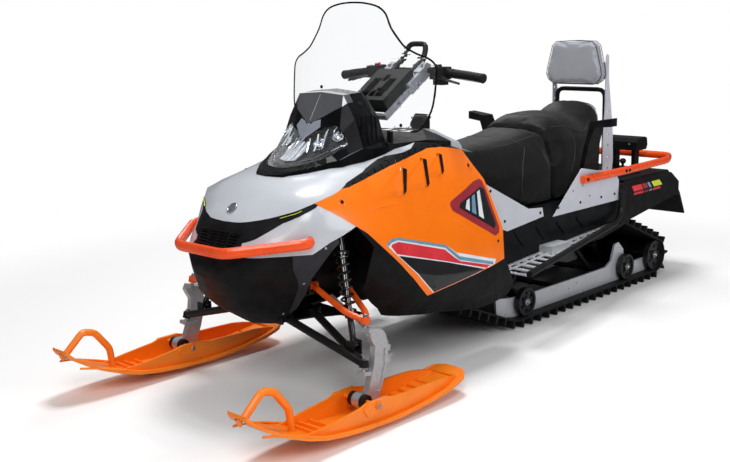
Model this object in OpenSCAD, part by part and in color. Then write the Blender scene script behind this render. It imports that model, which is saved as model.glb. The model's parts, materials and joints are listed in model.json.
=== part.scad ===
// Utility snowmobile for two, with a wide track, two steered skis and a tall windshield.
// The nose points to -Y, the rider's left is +X, and the ground under the track is Z = 0.

/* [Skis and front suspension] */
// Distance from the centreline to each ski's middle
ski_x = 490; // [470:5:510]
// Width of a ski across its side walls
ski_w = 190; // [170:5:200]
// Thickness of a ski's side wall
ski_wall = 9; // [6:1:12]
// Distance of the ski bolt behind the ski's tip
bolt_from_tip = 527; // [515:2:540]
// Height of the ski bolt above the ground
bolt_z = 92; // [88:1:100]
// Radius of the ski bolt
bolt_r = 8; // [6:0.5:9]
// Radius of the ski's loop tube
loop_r = 13; // [9:1:15]
// Radius of the lower arms' tube
lower_arm_r = 14; // [10:1:16]
// Radius of the orange upper arms' tube
upper_arm_r = 11; // [8:1:13]
// Radius of a ball joint's stud
stud_r = 6; // [5:0.5:7]
// Outer radius of the shock's spring
spring_r = 26; // [22:1:29]
// Radius of the spring's wire
wire_r = 4.5; // [3.5:0.5:5.5]
// Radius of the tie rods
tie_r = 7; // [5:1:9]

/* [Body panels] */
// Thickness of the moulded panels
panel_t = 5; // [4:0.5:7]
// Gap between two neighbouring panels
seam = 0.6; // [0.4:0.1:2]
// Radius of the front bumper's tube
bumper_r = 14; // [11:1:17]
// Thickness of the windshield sheet
screen_t = 4; // [3:0.5:5]

/* [Chassis] */
// Distance from the track's edge to the tunnel's outer side
side_room = 12; // [9:1:18]
// Thickness of the tunnel's sheet
tunnel_t = 4; // [3:0.5:5]
// Height of the tunnel's top plate above the ground
tunnel_z = 520; // [510:2:530]
// Radius of the running boards' edge tubes
edge_r = 14; // [10:1:16]
// Radius of the rear rack's tube
rack_r = 13; // [11:1:15]

/* [Track and skid] */
// Width of the track
track_w = 500; // [480:5:506]
// Thickness of the belt
belt_t = 8; // [6:1:10]
// Height of the lugs
lug_h = 32; // [26:1:36]
// Radius of the rear idler wheels
idler_r = 76; // [70:1:80]
// Radius of the small carrier wheels
wheel_r = 64; // [56:1:66]
// Pitch circle radius of the drive sprockets
sprocket_r = 84; // [80:1:88]

/* [Seat and controls] */
// Distance from the middle to the handlebar's ends
bar_half = 368; // [350:2:380]
// Radius of the handlebar's tube
bar_r = 11; // [10:0.5:12]
// Radius of a grip
grip_r = 17; // [15:0.5:19]
// Half of the distance between the backrest's uprights
upright_x = 146; // [140:2:160]

/* [Hidden] */
$fn = 40;

tip_y = -1612;
tail_y = -590;
bolt_y = tip_y + bolt_from_tip;
tunnel_hw = track_w / 2 + side_room;
idler_y = 1384;
body_end = idler_y + 176;
fit = 0.3;
pin_play = 0.8;

// Points of the steering axis, which passes both ball joints of a spindle
ball_low = [478, -1048, 205];
ball_high = [464, -1021, 346];
king_axis = (ball_high - ball_low) / norm(ball_high - ball_low);

// Small helpers

function flat(list) = [for (part = list) for (item = part) item];
function mix(a, b, t) = a + (b - a) * t;
function unit(v) = v / norm(v);

// Smooth value between rows p1 and p2 of a table, after Catmull and Rom
function spline(p0, p1, p2, p3, t) =
    0.5 * (2 * p1 + (p2 - p0) * t + (2 * p0 - 5 * p1 + 4 * p2 - p3) * t * t
        + (3 * p1 - p0 - 3 * p2 + p3) * t * t * t);
function row(list, i) = list[max(0, min(len(list) - 1, i))];
function smooth(list, steps) = concat(
    [for (i = [0 : len(list) - 2]) for (k = [0 : steps - 1])
        spline(row(list, i - 1), list[i], list[i + 1], row(list, i + 2), k / steps)],
    [list[len(list) - 1]]);

// Closed solid through rings of points that all have the same count
module loft(rings) {
    n = len(rings[0]);
    last = len(rings) - 1;
    polyhedron(points = flat(rings), faces = concat(
        [for (i = [0 : last - 1]) for (j = [0 : n - 1]) [i * n + j, (i + 1) * n + j,
            i * n + (j + 1) % n]],
        [for (i = [0 : last - 1]) for (j = [0 : n - 1])
            [i * n + (j + 1) % n, (i + 1) * n + j, (i + 1) * n + (j + 1) % n]],
        [for (j = [1 : n - 2]) [0, j, j + 1]],
        [for (j = [1 : n - 2]) [last * n, last * n + j + 1, last * n + j]]));
}

// Ring in a plane of constant y, from the [x, z] points of its +X half, listed from the top to the bottom
function half_ring(y, pts) = concat(
    [for (p = pts) [p[0], y, p[1]]],
    [for (i = [len(pts) - 2 : -1 : 1]) [-pts[i][0], y, pts[i][1]]]);

// Path with its inner corners rounded by arcs that start at a distance cut from each corner
function rounded(path, cut, steps = 4) = flat([for (i = [0 : len(path) - 1])
    i == 0 || i == len(path) - 1 ? [path[i]]
    : let (a = path[i] + unit(path[i - 1] - path[i]) * cut,
        b = path[i] + unit(path[i + 1] - path[i]) * cut)
        [for (k = [0 : steps]) let (t = k / steps)
            (1 - t) * (1 - t) * a + 2 * t * (1 - t) * path[i] + t * t * b]]);

function tangent(path, i) = unit(row(path, i + 1) - row(path, i - 1));
function carry(v, t) = unit(v - (v * t) * t);
function side_start(t) = carry(abs(t[0]) < 0.9 ? [1, 0, 0] : [0, 0, 1], t);
function sides_along(path, i = 0, v = undef) = i == len(path) ? []
    : let (w = i == 0 ? side_start(tangent(path, 0)) : carry(v, tangent(path, i)))
        concat([w], sides_along(path, i + 1, w));

// Bent tube of radius r along a path
module bent_tube(path, r, sides = 12, tall = 1) {
    across = sides_along(path);
    loft([for (i = [0 : len(path) - 1]) let (u = across[i], v = cross(tangent(path, i), u) * tall)
        [for (j = [0 : sides - 1]) path[i] + r * (u * cos(360 * j / sides) + v * sin(360 * j / sides))]]);
}

// Straight rod from a to b
module rod(a, b, r) {
    d = b - a;
    translate(a)
        rotate([0, acos(d[2] / norm(d)), atan2(d[1], d[0])])
            cylinder(r = r, h = norm(d));
}

module both() {
    children();
    mirror([1, 0, 0]) children();
}

// Prism from a [y, z] outline, from x0 to x1
module side_prism(outline, x0, x1) {
    translate([x0, 0, 0])
        rotate([90, 0, 90])
            linear_extrude(height = x1 - x0) polygon(outline);
}

module side_region(outline, x0, x1, grow = -seam / 2) {
    translate([x0, 0, 0])
        rotate([90, 0, 90])
            linear_extrude(height = x1 - x0) offset(delta = grow) polygon(outline);
}

// Body shell

// Stations of the body: y, top z, crease x and z, widest x and z, lower corner x and z, bottom z
stations = [
    [-1305, 545, 50, 538, 95, 518, 70, 482, 472],
    [-1262, 602, 105, 590, 165, 540, 115, 425, 400],
    [-1230, 664, 124, 644, 196, 565, 140, 385, 350],
    [-1150, 738, 190, 695, 260, 592, 152, 345, 293],
    [-1070, 784, 285, 732, 318, 602, 155, 320, 262],
    [-905, 826, 282, 776, 376, 580, 175, 300, 250],
    [-700, 858, 276, 828, 405, 440, 330, 268, 240],
    [-480, 884, 268, 876, 416, 395, 352, 240, 225],
    [-240, 846, 256, 832, 416, 385, 356, 206, 195],
    [-60, 790, 238, 776, 402, 392, 352, 222, 212],
    [20, 760, 228, 746, 392, 400, 345, 236, 226]
];

// One ring of the body, with every wall moved inward by inset
function body_ring(s, inset) = half_ring(s[0], [
    [0, s[1] - inset],
    [s[2] * 0.6, mix(s[1], s[3], 0.3) - inset],
    [s[2] - inset * 0.6, s[3] - inset * 0.9],
    [mix(s[2], s[4], 0.4) + 6 - inset, mix(s[3], s[5], 0.34)],
    [mix(s[2], s[4], 0.8) + 5 - inset, mix(s[3], s[5], 0.72)],
    [s[4] - inset, s[5]],
    [mix(s[4], s[6], 0.35) - inset * 0.9, mix(s[5], s[7], 0.5) + inset * 0.3],
    [s[6] - inset * 0.5, s[7] + inset],
    [s[6] * 0.5, mix(s[7], s[8], 0.75) + inset],
    [0, s[8] + inset]]);

module body_solid(inset) {
    loft([for (s = smooth(stations, 2)) body_ring(s, inset)]);
}

module body_shell() {
    difference() {
        body_solid(0);
        intersection() {
            body_solid(panel_t);
            translate([-500, -1305 + panel_t * 3, 0]) cube([1000, 1400, 1000]);
        }
    }
}

// Outlines of the panels in side view, as [y, z]
hood_line = [[-1330, 650], [-1226, 664], [-1150, 690], [-1070, 731], [-960, 757], [-905, 778],
    [-700, 836],
    [-480, 878], [-372, 868], [-240, 829], [-150, 806]];
strip_line = [[-1330, 560], [-1240, 560], [-1222, 620], [-1150, 668], [-1062, 722]];
hood_outline = concat(hood_line, [[-150, 1000], [-1330, 1000]]);
side_outline = [[-1068, 731], [-985, 674], [-900, 612], [-610, 336], [-160, 398], [-128, 523],
    [-150, 708],
    [-240, 829], [-372, 852], [-470, 857], [-700, 812], [-905, 766], [-940, 764.6], [-960, 757]];
vent_outline = [[-940, 764.6], [-905, 778], [-700, 836], [-480, 878], [-372, 868], [-372, 852],
    [-470, 857],
    [-700, 812], [-905, 766]];
cheek_outline = [[-1262, 560], [-1256, 602], [-1222, 622], [-1150, 668], [-1062, 722], [-1056, 722.7],
    [-985, 674], [-940, 641.2], [-1040, 600], [-1090, 560]];
pan_outline = [[-1340, 560], [-1146, 560], [-1138, 510], [-1103, 440], [-1098, 400], [-1092, 335],
    [-1078, 330],
    [-1076, 285], [-900, 285], [-860, 256], [-700, 250], [-700, 150], [-1340, 150]];
cover_outline = [[-1146, 560], [-1090, 560], [-1040, 600], [-1016, 609.9], [-1010, 592], [-1026, 569],
    [-1072, 468], [-1063, 408], [-1066, 349], [-1078, 330], [-1092, 335], [-1098, 400], [-1103, 440],
        [-1138, 510]];
skirt_outline = [[-940, 641.2], [-900, 612], [-610, 336], [-160, 398], [-30, 258], [-120, 150],
    [-560, 150],
    [-700, 255], [-850, 300], [-880, 560]];
cowl_plan = [[0, -1034], [70, -1014], [130, -940], [188, -836], [220, -700], [228, -520], [225, -300],
    [190, -150], [0, -150]];

module cowl_opening(grow) {
    translate([0, 0, 500])
        linear_extrude(height = 700)
            offset(delta = grow)
                polygon(concat(cowl_plan, [for (i = [len(cowl_plan) - 2 : -1 : 1]) [-cowl_plan[i][0],
                    cowl_plan[i][1]]]));
}

// Moves the design frame so that the middle of the whole sled's length is Y = 0
module place() {
    translate([0, -30, 0]) children();
}

module hood() {
    place()
        color("silver") {
            difference() {
                intersection() {
                    body_shell();
                    side_region(hood_outline, -500, 500);
                }
                cowl_opening(0);
            }
            difference() {
                both()
                    intersection() {
                        body_shell();
                        side_region(cheek_outline, 120, 500);
                    }
                bumper_tube(fit);
            }
        }
}

// Louvre slots of a side panel in side view
louvres = [for (p = [[-636, 804, -673, 710], [-518, 826, -542, 721], [-414, 832, -434, 754]])
    [[p[0] - 5, p[1]], [p[0] + 5, p[1] + 2], [p[2] + 4, p[3]], [p[2] - 6, p[3] + 5]]];

module side_panels() {
    place()
        color("darkorange")
            both()
                difference() {
                    intersection() {
                        body_shell();
                        side_region(side_outline, 150, 500);
                    }
                    for (slot = louvres)
                        side_prism(slot, 200, 500);
                }
}

// Height of the line between the hood and the vent strip
function body_edge(y) = y < -700 ? mix(778, 836, (y + 905) / 205) : y < -480 ? mix(836, 878,
    (y + 700) / 220)
    : mix(878, 868, (y + 480) / 108);

module vent_strips() {
    place()
        color("dimgray")
            both()
                difference() {
                    intersection() {
                        body_shell();
                        side_region(vent_outline, 229, 500);
                    }
                    for (i = [0 : 12]) let (y = -880 + i * 38)
                        side_prism([[y, 700], [y + 5, 700], [y + 5, body_edge(y) - 4],
                            [y, body_edge(y) - 4]], 200, 500);
                }
}

// Nose grille and the black strips that run back from it to the side panels
module grille() {
    strip = concat(strip_line, [[-1070, 731], [-1150, 690], [-1226, 664], [-1330, 650]]);
    place()
        color("black")
            difference() {
                intersection() {
                    body_shell();
                    side_region(strip, -500, 500);
                }
                both() {
                    side_region(cheek_outline, 120 - seam, 500, seam / 2);
                    for (x = [8 : 11 : 41])
                        translate([x, -1330, 568]) cube([5, 100, 62]);
                    for (z = [568 : 10 : 618])
                        translate([54, -1330, z]) cube([42, 130, 5]);
                }
            }
}

module belly_pan() {
    place()
        color("black")
            difference() {
                intersection() {
                    body_shell();
                    side_region(pan_outline, -500, 500);
                }
                both() {
                    rod([118, -1064, 304], ball_low, lower_arm_r + 4);
                    rod([118, -925, 294], ball_low, lower_arm_r + 4);
                    translate([58, -1094, 264]) cube([94, 32, 62]);
                    translate([92, -955, 262]) cube([60, 58, 40]);
                }
            }
}

// Dark plates of the pan ahead of the shocks
module shock_covers() {
    place()
        color("dimgray")
            both()
                difference() {
                    intersection() {
                        body_shell();
                        side_region(cover_outline, 90, 500);
                    }
                    bumper_tube(fit);
                }
}

module side_skirts() {
    place()
        color("black")
            both()
                intersection() {
                    body_shell();
                    side_region(skirt_outline, 290, 500);
                }
}

// Cowl behind the hood, which carries the lamps, the visor and the windshield
// Stations: y, then the [x, z] points of one side from the top down
cowl_stations = [
    [-1036, [0, 797], [50, 796], [95, 790], [150, 780], [240, 764]],
    [-1010, [0, 808], [55, 807], [100, 801], [155, 790], [240, 778]],
    [-955, [0, 832], [60, 829], [112, 820], [170, 806], [240, 794]],
    [-900, [0, 862], [62, 857], [118, 842], [176, 820], [240, 806]],
    [-850, [0, 905], [70, 898], [126, 876], [182, 842], [240, 820]],
    [-800, [0, 985], [80, 972], [142, 925], [192, 862], [240, 832]],
    [-745, [0, 1074], [114, 1066], [170, 982], [208, 880], [240, 845]],
    [-660, [0, 1082], [120, 1072], [178, 990], [209, 890], [240, 855]],
    [-626.2, [0, 1064], [116, 1054], [177, 978], [207, 890], [240, 859]]
];
lamp_front = [[0, 820], [50, 822], [98, 831], [142, 850], [174, 886], [181, 919], [172, 953], [150, 969],
    [116, 962], [66, 944], [0, 916]];
visor_front = [[0, 962], [50, 986], [124, 1027], [142, 1048], [112, 1100], [0, 1100]];

function cowl_ring(s, inset) = half_ring(s[0], concat(
    [for (i = [1 : 5]) [max(0, s[i][0] - (i == 1 ? 0 : inset)), s[i][1] - inset]],
    [[240 - inset, 780], [0, 780]]));

module cowl_solid(inset) {
    intersection() {
        loft([for (s = cowl_stations) cowl_ring(s, inset)]);
        cowl_opening(-seam - inset);
    }
}

module front_region(outline, y0, y1, grow) {
    translate([0, y1, 0])
        rotate([90, 0, 0])
            linear_extrude(height = y1 - y0)
                offset(delta = grow)
                    polygon(concat(outline, [for (i = [len(outline) - 2 : -1 : 1]) [-outline[i][0],
                        outline[i][1]]]));
}

module cowl() {
    place()
        color("black")
            difference() {
                cowl_solid(0);
                front_region(lamp_front, -1000, -790, seam / 2);
                front_region(visor_front, -900, -715, seam / 2);
                translate([-150, -790, 770]) cube([300, 175, 160]);
            }
}

module headlamps() {
    place()
        color("white")
            intersection() {
                cowl_solid(0);
                front_region(lamp_front, -1000, -790.5, 0);
            }
}

module visor() {
    place()
        color("dimgray")
            intersection() {
                cowl_solid(0);
                front_region(visor_front, -900, -715.5, 0);
            }
}

// Windshield: height and half width of each row of its outline
screen_rows = [[928, 290], [938, 327], [1000, 361], [1060, 371], [1130, 373], [1165, 369],
    [1190, 342], [1206, 300],
    [1225, 262], [1243, 238], [1300, 190], [1350, 165], [1380, 130], [1393, 80], [1398, 30]];
function screen_y(x, z) = -612 + 70 * pow(x / 370, 2) + (z - 1000) * 0.1;
function screen_ring(s) = concat(
    [for (i = [-6 : 6]) let (x = s[1] * i / 6) [x, screen_y(x, s[0]), s[0]]],
    [for (i = [6 : -1 : -6]) let (x = s[1] * i / 6) [x, screen_y(x, s[0]) + screen_t, s[0]]]);
module windshield() {
    place()
        color("lightblue")
            loft([for (s = screen_rows) screen_ring(s)]);
}

module console() {
    place()
        color("black") {
            difference() {
                intersection() {
                    loft([
                        half_ring(-625.6, [[0, 918], [90, 915], [170, 900], [240, 880], [240, 840],
                            [0, 840]]),
                        half_ring(-546, [[0, 900], [90, 897], [170, 892], [240, 880], [240, 838],
                            [0, 838]]),
                        half_ring(-430, [[0, 893], [80, 892], [165, 888], [240, 878], [240, 832],
                            [0, 832]]),
                        half_ring(-330, [[0, 900], [70, 898], [150, 888], [240, 866], [240, 820],
                            [0, 820]]),
                        half_ring(-248, [[0, 902], [66, 900], [140, 882], [240, 850], [240, 790],
                            [0, 790]])
                    ]);
                    cowl_opening(-seam);
                }
                along_post(-60) cylinder(r = post_r + fit, h = 260);
            }
            for (x = [-210, 190])
                translate([x, -597, 884]) cube([20, 12, 43.7]);
            translate([0, -180, 880.3]) cylinder(r = 38, h = 50);
        }
}

module tank_cover() {
    place()
        color("silver")
            difference() {
                intersection() {
                    loft([
                        half_ring(-247.6, [[0, 900], [66, 898], [140, 880], [240, 848], [240, 790],
                            [0, 790]]),
                        half_ring(-180, [[0, 893], [70, 890], [130, 870], [235, 838], [235, 780],
                            [0, 780]]),
                        half_ring(-121, [[0, 850], [60, 845], [110, 825], [200, 800], [200, 760],
                            [0, 760]])
                    ]);
                    cowl_opening(-seam);
                }
                translate([0, -180, 880]) cylinder(r = 38 + fit, h = 60);
            }
}

module bumper_tube(grow = 0) {
    path = rounded([[284, -1092, 606], [315, -1116, 605], [124, -1339, 582], [-124, -1339, 582],
        [-315, -1116, 605],
        [-284, -1092, 606]], 34);
    bent_tube(path, bumper_r + grow, 12, 1.4);
}
module front_bumper() {
    place()
        color("orangered") {
            bumper_tube();
        }
}

// Skis

// Bottom line of a ski in side view, from its tip to its tail
ski_line = [[tip_y, 186], [-1588, 161], [-1548, 134], [-1495, 106], [-1410, 73], [-1330, 50], [-1240, 36],
    [-1150, 28], [-1000, 22], [-900, 26], [-820, 32], [-710, 46], [-650, 57], [tail_y, 75]];
ski_plan = [[tip_y, 20], [-1610, 44], [-1572, 68], [-1500, 86], [-1400, ski_w / 2], [-720, ski_w / 2],
    [-630, 84],
    [-602, 64], [tail_y, 34]];
wall_half = 77;
wall_plan = [[-1450, 50], [-1400, 68], [-1300, wall_half], [-850, wall_half], [-720, 72], [-640, 58]];
wall_side = concat([for (p = ski_line) if (p[0] > -1420 && p[0] < -640) p + [0, 4]],
    [[-640, 72], [-700, 84], [-760, 92], [-990, 98], [-1016, 104], [-1036, 110], [-1130, 110], [-1160, 101],
        [-1250, 92], [-1330, 84], [-1400, 80]]);
keel_side = [[-1410, 73], [-1330, 40], [-1240, 8], [-1200, 0], [-850, 0], [-800, 10], [-700, 46],
    [-690, 58],
    [-820, 40], [-1000, 28], [-1150, 34], [-1330, 56]];

module both_sides_plan(half, grow = 0) {
    linear_extrude(height = 300)
        offset(delta = grow)
            polygon(concat([for (p = half) [p[1], p[0]]], [for (i = [len(half) - 1 : -1 : 0])
                [-half[i][1], half[i][0]]]));
}

module ski() {
    intersection() {
        side_prism(concat(ski_line, [for (i = [len(ski_line) - 1 : -1 : 0])
            ski_line[i] + [i < 4 ? 3 : 0, 10]]),
            -120, 120);
        both_sides_plan(ski_plan);
    }
    difference() {
        intersection() {
            side_prism(wall_side, -120, 120);
            both_sides_plan(wall_plan);
        }
        both_sides_plan(wall_plan, -ski_wall);
    }
    for (p = [[-1360, 58], [-1310, 47], [-1260, 40]])
        translate([-wall_half + ski_wall + 8, p[0], p[1]]) cube([2 * (wall_half - ski_wall - 8), 6, 22]);
    side_prism(keel_side, -9, 9);
    both()
        side_prism([[-1150, 92], [-1130, 110], [-1036, 110], [-1010, 92], [-1030, 66], [-1132, 66]],
            wall_half - 2, wall_half + 6);
    bent_tube(rounded([[0, -1604, 165], [0, -1588, 170], [0, -1512, 238], [0, -1462, 226],
        [0, -1402, 152],
        [0, -1393, 76]], 16, 3), loop_r, 10, 1);
    translate([-wall_half - 12, bolt_y, bolt_z])
        rotate([0, 90, 0]) cylinder(r = bolt_r, h = 2 * wall_half + 24);
    for (x = [-wall_half - 14, wall_half + 6])
        translate([x, bolt_y, bolt_z])
            rotate([0, 90, 0]) cylinder(r = 13, h = 8, $fn = 6);
}
// Rubber rings on the ski's bolt, on both sides of the spindle's foot
foot_w = 32;
module ski_damper() {
    thick = 17;
    for (x = [-foot_w / 2 - 1 - thick, foot_w / 2 + 1])
        difference() {
            translate([x, bolt_y, bolt_z]) rotate([0, 90, 0]) cylinder(r = 24, h = thick);
            translate([x - 1, bolt_y, bolt_z]) rotate([0, 90, 0])
                cylinder(r = bolt_r + fit, h = thick + 2);
        }
}
module ski_damper_left() { place() color("black") translate([ski_x, 0, 0]) ski_damper(); }
module ski_damper_right() { place() color("black") translate([-ski_x, 0, 0]) ski_damper(); }

module ski_left() { place() color("darkorange") translate([ski_x, 0, 0]) ski(); }
module ski_right() { place() color("darkorange") translate([-ski_x, 0, 0]) ski(); }

// Front suspension

// Turns and moves its children so that their +Z follows the steering axis of a spindle
module along_king(p) {
    k = king_axis;
    x = carry([1, 0, 0], k);
    y = cross(k, x);
    multmatrix([[x[0], y[0], k[0], p[0]], [x[1], y[1], k[1], p[1]], [x[2], y[2], k[2], p[2]],
        [0, 0, 0, 1]])
        children();
}

tie_ball = [446, -900, 222];
upright_side = [[-1100, 70], [-1018, 70], [-1003, 88], [-978, 150], [-962, 205], [-955, 250], [-968, 298],
    [-990, 320], [-1036, 320], [-1044, 306], [-1036, 288], [-1020, 262], [-1028, 205], [-1044, 152],
        [-1058, 116],
    [-1100, 112]];

module spindle() {
    difference() {
        union() {
            side_prism(upright_side, ski_x - 8, ski_x + 16);
            translate([ski_x - foot_w / 2, bolt_y, bolt_z])
                rotate([0, 90, 0]) cylinder(r = 25, h = foot_w);
            translate([0, 0, 191])
                linear_extrude(height = 13)
                    polygon([[484, -985], [505, -985], [503, -945], [464, -884], [446, -880], [430, -890],
                        [430, -908], [456, -928]]);
            along_king(ball_low) {
                translate([-16, -16, -38]) cube([36, 60, 14]);
                translate([0, 0, -30]) cylinder(r = stud_r, h = 44);
            }
            along_king(ball_high) {
                translate([-14, -14, -36]) cube([46, 40, 13]);
                translate([0, 0, -30]) cylinder(r = stud_r, h = 44);
            }
            along_king(tie_ball) translate([0, 0, -24]) cylinder(r = stud_r, h = 40);
        }
        translate([ski_x - 40, bolt_y, bolt_z])
            rotate([0, 90, 0]) cylinder(r = bolt_r + fit, h = 80);
        side_prism([[-1030, 110], [-1002, 108], [-975, 190], [-972, 250], [-1000, 240], [-1012, 180]],
            ski_x + 11, ski_x + 20);
    }
}
module spindle_left() { place() color("lightgray") spindle(); }
module spindle_right() { place() color("lightgray") mirror([1, 0, 0]) spindle(); }

module tie_rod() {
    difference() {
        union() {
            along_king(tie_ball) translate([0, 0, -11]) cylinder(r = 14, h = 22);
            rod(tie_ball, [150, -868, 350], tie_r);
        }
        along_king(tie_ball) translate([0, 0, -20]) cylinder(r = stud_r + pin_play, h = 40);
    }
}
module tie_rod_left() { place() color("dimgray") tie_rod(); }
module tie_rod_right() { place() color("dimgray") mirror([1, 0, 0]) tie_rod(); }

module lower_arms() {
    place()
        color("black")
            both()
                difference() {
                    union() {
                        rod([118, -1064, 304], ball_low, lower_arm_r);
                        rod([118, -925, 294], ball_low, lower_arm_r);
                        along_king(ball_low) translate([0, 0, -12]) cylinder(r = 16, h = 24);
                        translate([118, -1044, 304]) rotate([90, 0, 0]) cylinder(r = 15, h = 40);
                        translate([118, -905, 294]) rotate([90, 0, 0]) cylinder(r = 15, h = 40);
                        for (y = [shock_low[1] - 21, shock_low[1] + 15])
                            translate([shock_low[0] - 18, y, 216]) cube([36, 6, 50]);
                    }
                    along_king(ball_low) translate([0, 0, -24]) cylinder(r = stud_r + pin_play, h = 48);
                }
}

module upper_arms() {
    place()
        color("darkorange")
            both()
                difference() {
                    union() {
                        bent_tube(rounded([[190, -999, 421],
                            [392, -1040, 366], ball_high], 30, 3), upper_arm_r, 12, 1);
                        bent_tube(rounded([[190, -841, 405],
                            [432, -982, 358], ball_high], 30, 3), upper_arm_r, 12, 1);
                        along_king(ball_high) translate([0, 0, -11]) cylinder(r = 17, h = 22);
                        translate([190, -981, 421]) rotate([90, 0, 0]) cylinder(r = 13, h = 36);
                        translate([190, -823, 405]) rotate([90, 0, 0]) cylinder(r = 13, h = 36);
                    }
                    along_king(ball_high) translate([0, 0, -24]) cylinder(r = stud_r + pin_play, h = 48);
                }
}

shock_top = [272, -944, 602];
shock_low = [404, -1018, 252];
function shock_point(t) = shock_low + (shock_top - shock_low) * t;
module shocks() {
    axis = unit(shock_top - shock_low);
    u = carry([0, 1, 0], axis);
    v = cross(axis, u);
    turns = 7;
    coil = [for (i = [0 : turns * 10]) let (t = i / (turns * 10))
        shock_point(mix(0.31, 0.81, t)) + (spring_r - wire_r) * (u * cos(turns * 360 * t) + v * sin(turns * 360 * t))];
    place()
        color("black")
            both() {
                rod(shock_low, shock_point(0.6), 11);
                rod(shock_point(0.24), shock_point(0.32), 18);
                rod(shock_point(0.5), shock_top, 15);
                translate(shock_top + [0, 17.7, 0]) rotate([90, 0, 0]) cylinder(r = 16, h = 35.4);
                translate(shock_low + [0, 14.7, 0]) rotate([90, 0, 0]) cylinder(r = 13, h = 29.4);
                rod(shock_point(0.28), shock_point(0.31), spring_r);
                rod(shock_point(0.81), shock_point(0.84), spring_r);
                bent_tube(coil, wire_r, 6, 1);
            }
}

// Black frame inside the nose that carries the suspension
module lug(x0, x1, y, z0, z1) {
    translate([x0, y, z0]) cube([x1 - x0, 6, z1 - z0]);
}
module bulkhead() {
    ribs = [[-58, 300], [58, 300], [146, 372], [146, 560], [-146, 560], [-146, 372]];
    tower = [[140, 522], [140, 560], [262, 624], [290, 624], [290, 594], [252, 584], [172, 522]];
    place()
        color("black") {
            for (y = [-1092, -745])
                translate([0, y + 8, 0])
                    rotate([90, 0, 0]) linear_extrude(height = 8)
                        difference() {
                            polygon(ribs);
                            offset(delta = -22) polygon(ribs);
                        }
            translate([-58, -1086, 300]) cube([116, 345, 8]);
            both() {
                difference() {
                    translate([140, -1086, 372]) cube([6, 345, 188]);
                    translate([130, -1060, 390]) cube([30, 100, 150]);
                    translate([130, -945, 362]) cube([30, 135, 70]);
                }
                for (y = [-1090, -1044, -951, -905])
                    lug(40, 126, y, y < -1080 ? 284 : 287, 312);
                for (y = [-1023, -981, -865, -823])
                    lug(140, 197, y, 390, 436);
                for (y = [-968, -926])
                    translate([0, y + 6, 0])
                        rotate([90, 0, 0]) linear_extrude(height = 6) polygon(tower);
            }
        }
}

module engine() {
    place()
        color("gray")
            translate([-185, -736.7, 310]) cube([370, 258.4, 330]);
}

// Steering above the console: the post's axis leans back

post_r = 16;
post_base = [0, -560, 921];
post_axis = unit([0, 290, 190]);
module along_post(from) {
    translate(post_base)
        rotate([-acos(post_axis[2]), 0, 0])
            translate([0, 0, from]) children();
}

bar_path = rounded([[-bar_half, -242, 1104], [-300, -243, 1114], [-150, -246, 1130], [150, -246, 1130],
    [300, -243, 1114], [bar_half, -242, 1104]], 30, 3);

// Silver riser frame of two flat bars, with the post below it and the bar's clamps on top
module steering_riser() {
    place()
        color("lightgray") {
            along_post(-40) cylinder(r = post_r, h = 120);
            along_post(76) translate([-100, -10, 0]) cube([200, 20, 14]);
            both() {
                along_post(76) translate([84, -11, 0]) cube([16, 22, 262]);
                along_post(250) translate([84, -26, 0]) cube([16, 44, 84]);
            }
            difference() {
                both() along_post(330) translate([66, -30, 0]) cube([34, 50, 68]);
                bent_tube(bar_path, bar_r + 0.2, 12, 1);
            }
        }
}

module handlebar() {
    place()
        color("black") bent_tube(bar_path, bar_r, 12, 1);
}

module controls() {
    place()
        color("dimgray")
            difference() {
                both() {
                    bent_tube(rounded([[206, -246, 1122], [300, -243, 1114],
                        [bar_half + 2, -241.7, 1103.8]], 26, 3),
                        grip_r, 12, 1);
                    rod([200, -246, 1122.5], [206, -246, 1122], grip_r + 4);
                    translate([136, -284, 1098]) cube([62, 58, 48]);
                    translate([140, -268, 1076]) cube([50, 34, 26]);
                    bent_tube([[192, -280, 1108], [240, -300, 1098], [292, -296, 1086]], 5, 8, 1);
                }
                bent_tube(bar_path, bar_r + 0.2, 12, 1);
            }
}

// Padded block between the riser's bars, with the strap loop above it
module bar_pad() {
    place()
        color("black") {
            along_post(110)
                difference() {
                    translate([-83.6, -58, 0]) cube([167.2, 60, 200]);
                    for (w = [[-58, 22, 40, 116], [18, 22, 40, 116], [-12, 22, 24, 40],
                        [-12, 120, 24, 40]])
                        translate([w[0], -70, w[1]]) cube([w[2], 90, w[3]]);
                }
            bent_tube(rounded([[52, -324, 1109], [52, -262, 1146], [52, -215, 1180], [44, -192, 1232],
                [-44, -192, 1232],
                [-52, -215, 1180], [-52, -262, 1146], [-52, -324, 1109]], 24, 3), 11, 10, 1);
        }
}

// Chassis

function tunnel_half(grow, low) = [[tunnel_hw + grow, low], [tunnel_hw + grow,
    tunnel_z - 40 + grow * 0.4],
    [tunnel_hw - 40 + grow * 0.4, tunnel_z + grow]];
function both_halves(half) = concat(half, [for (i = [len(half) - 1 : -1 : 0]) [-half[i][0], half[i][1]]]);
module section(outline, y0, y1) {
    translate([0, y1, 0])
        rotate([90, 0, 0])
            linear_extrude(height = y1 - y0) polygon(outline);
}
tunnel_side = [[-478, 330], [-478, 560], [body_end, 560], [body_end, 416], [1080, 352], [1000, 330],
    [820, 300], [0, 290],
    [-100, 290], [-440, 330]];

module tunnel() {
    place()
        color("black") {
            intersection() {
                difference() {
                    section(both_halves(tunnel_half(0, 200)), -478, body_end - 6);
                    section(both_halves(tunnel_half(-tunnel_t, 190)), -470, body_end - 10);
                }
                side_prism(tunnel_side, -tunnel_hw - 40, tunnel_hw + 40);
            }
            both()
                for (y = [110, 270, 430, 590])
                    side_prism([[y, 444 - y * 0.02], [y + 12, 444 - y * 0.02],
                        [y + 76, 372 + y * 0.01], [y + 62, 372 + y * 0.01]],
                        tunnel_hw - 1, tunnel_hw + 5);
        }
}

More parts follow.
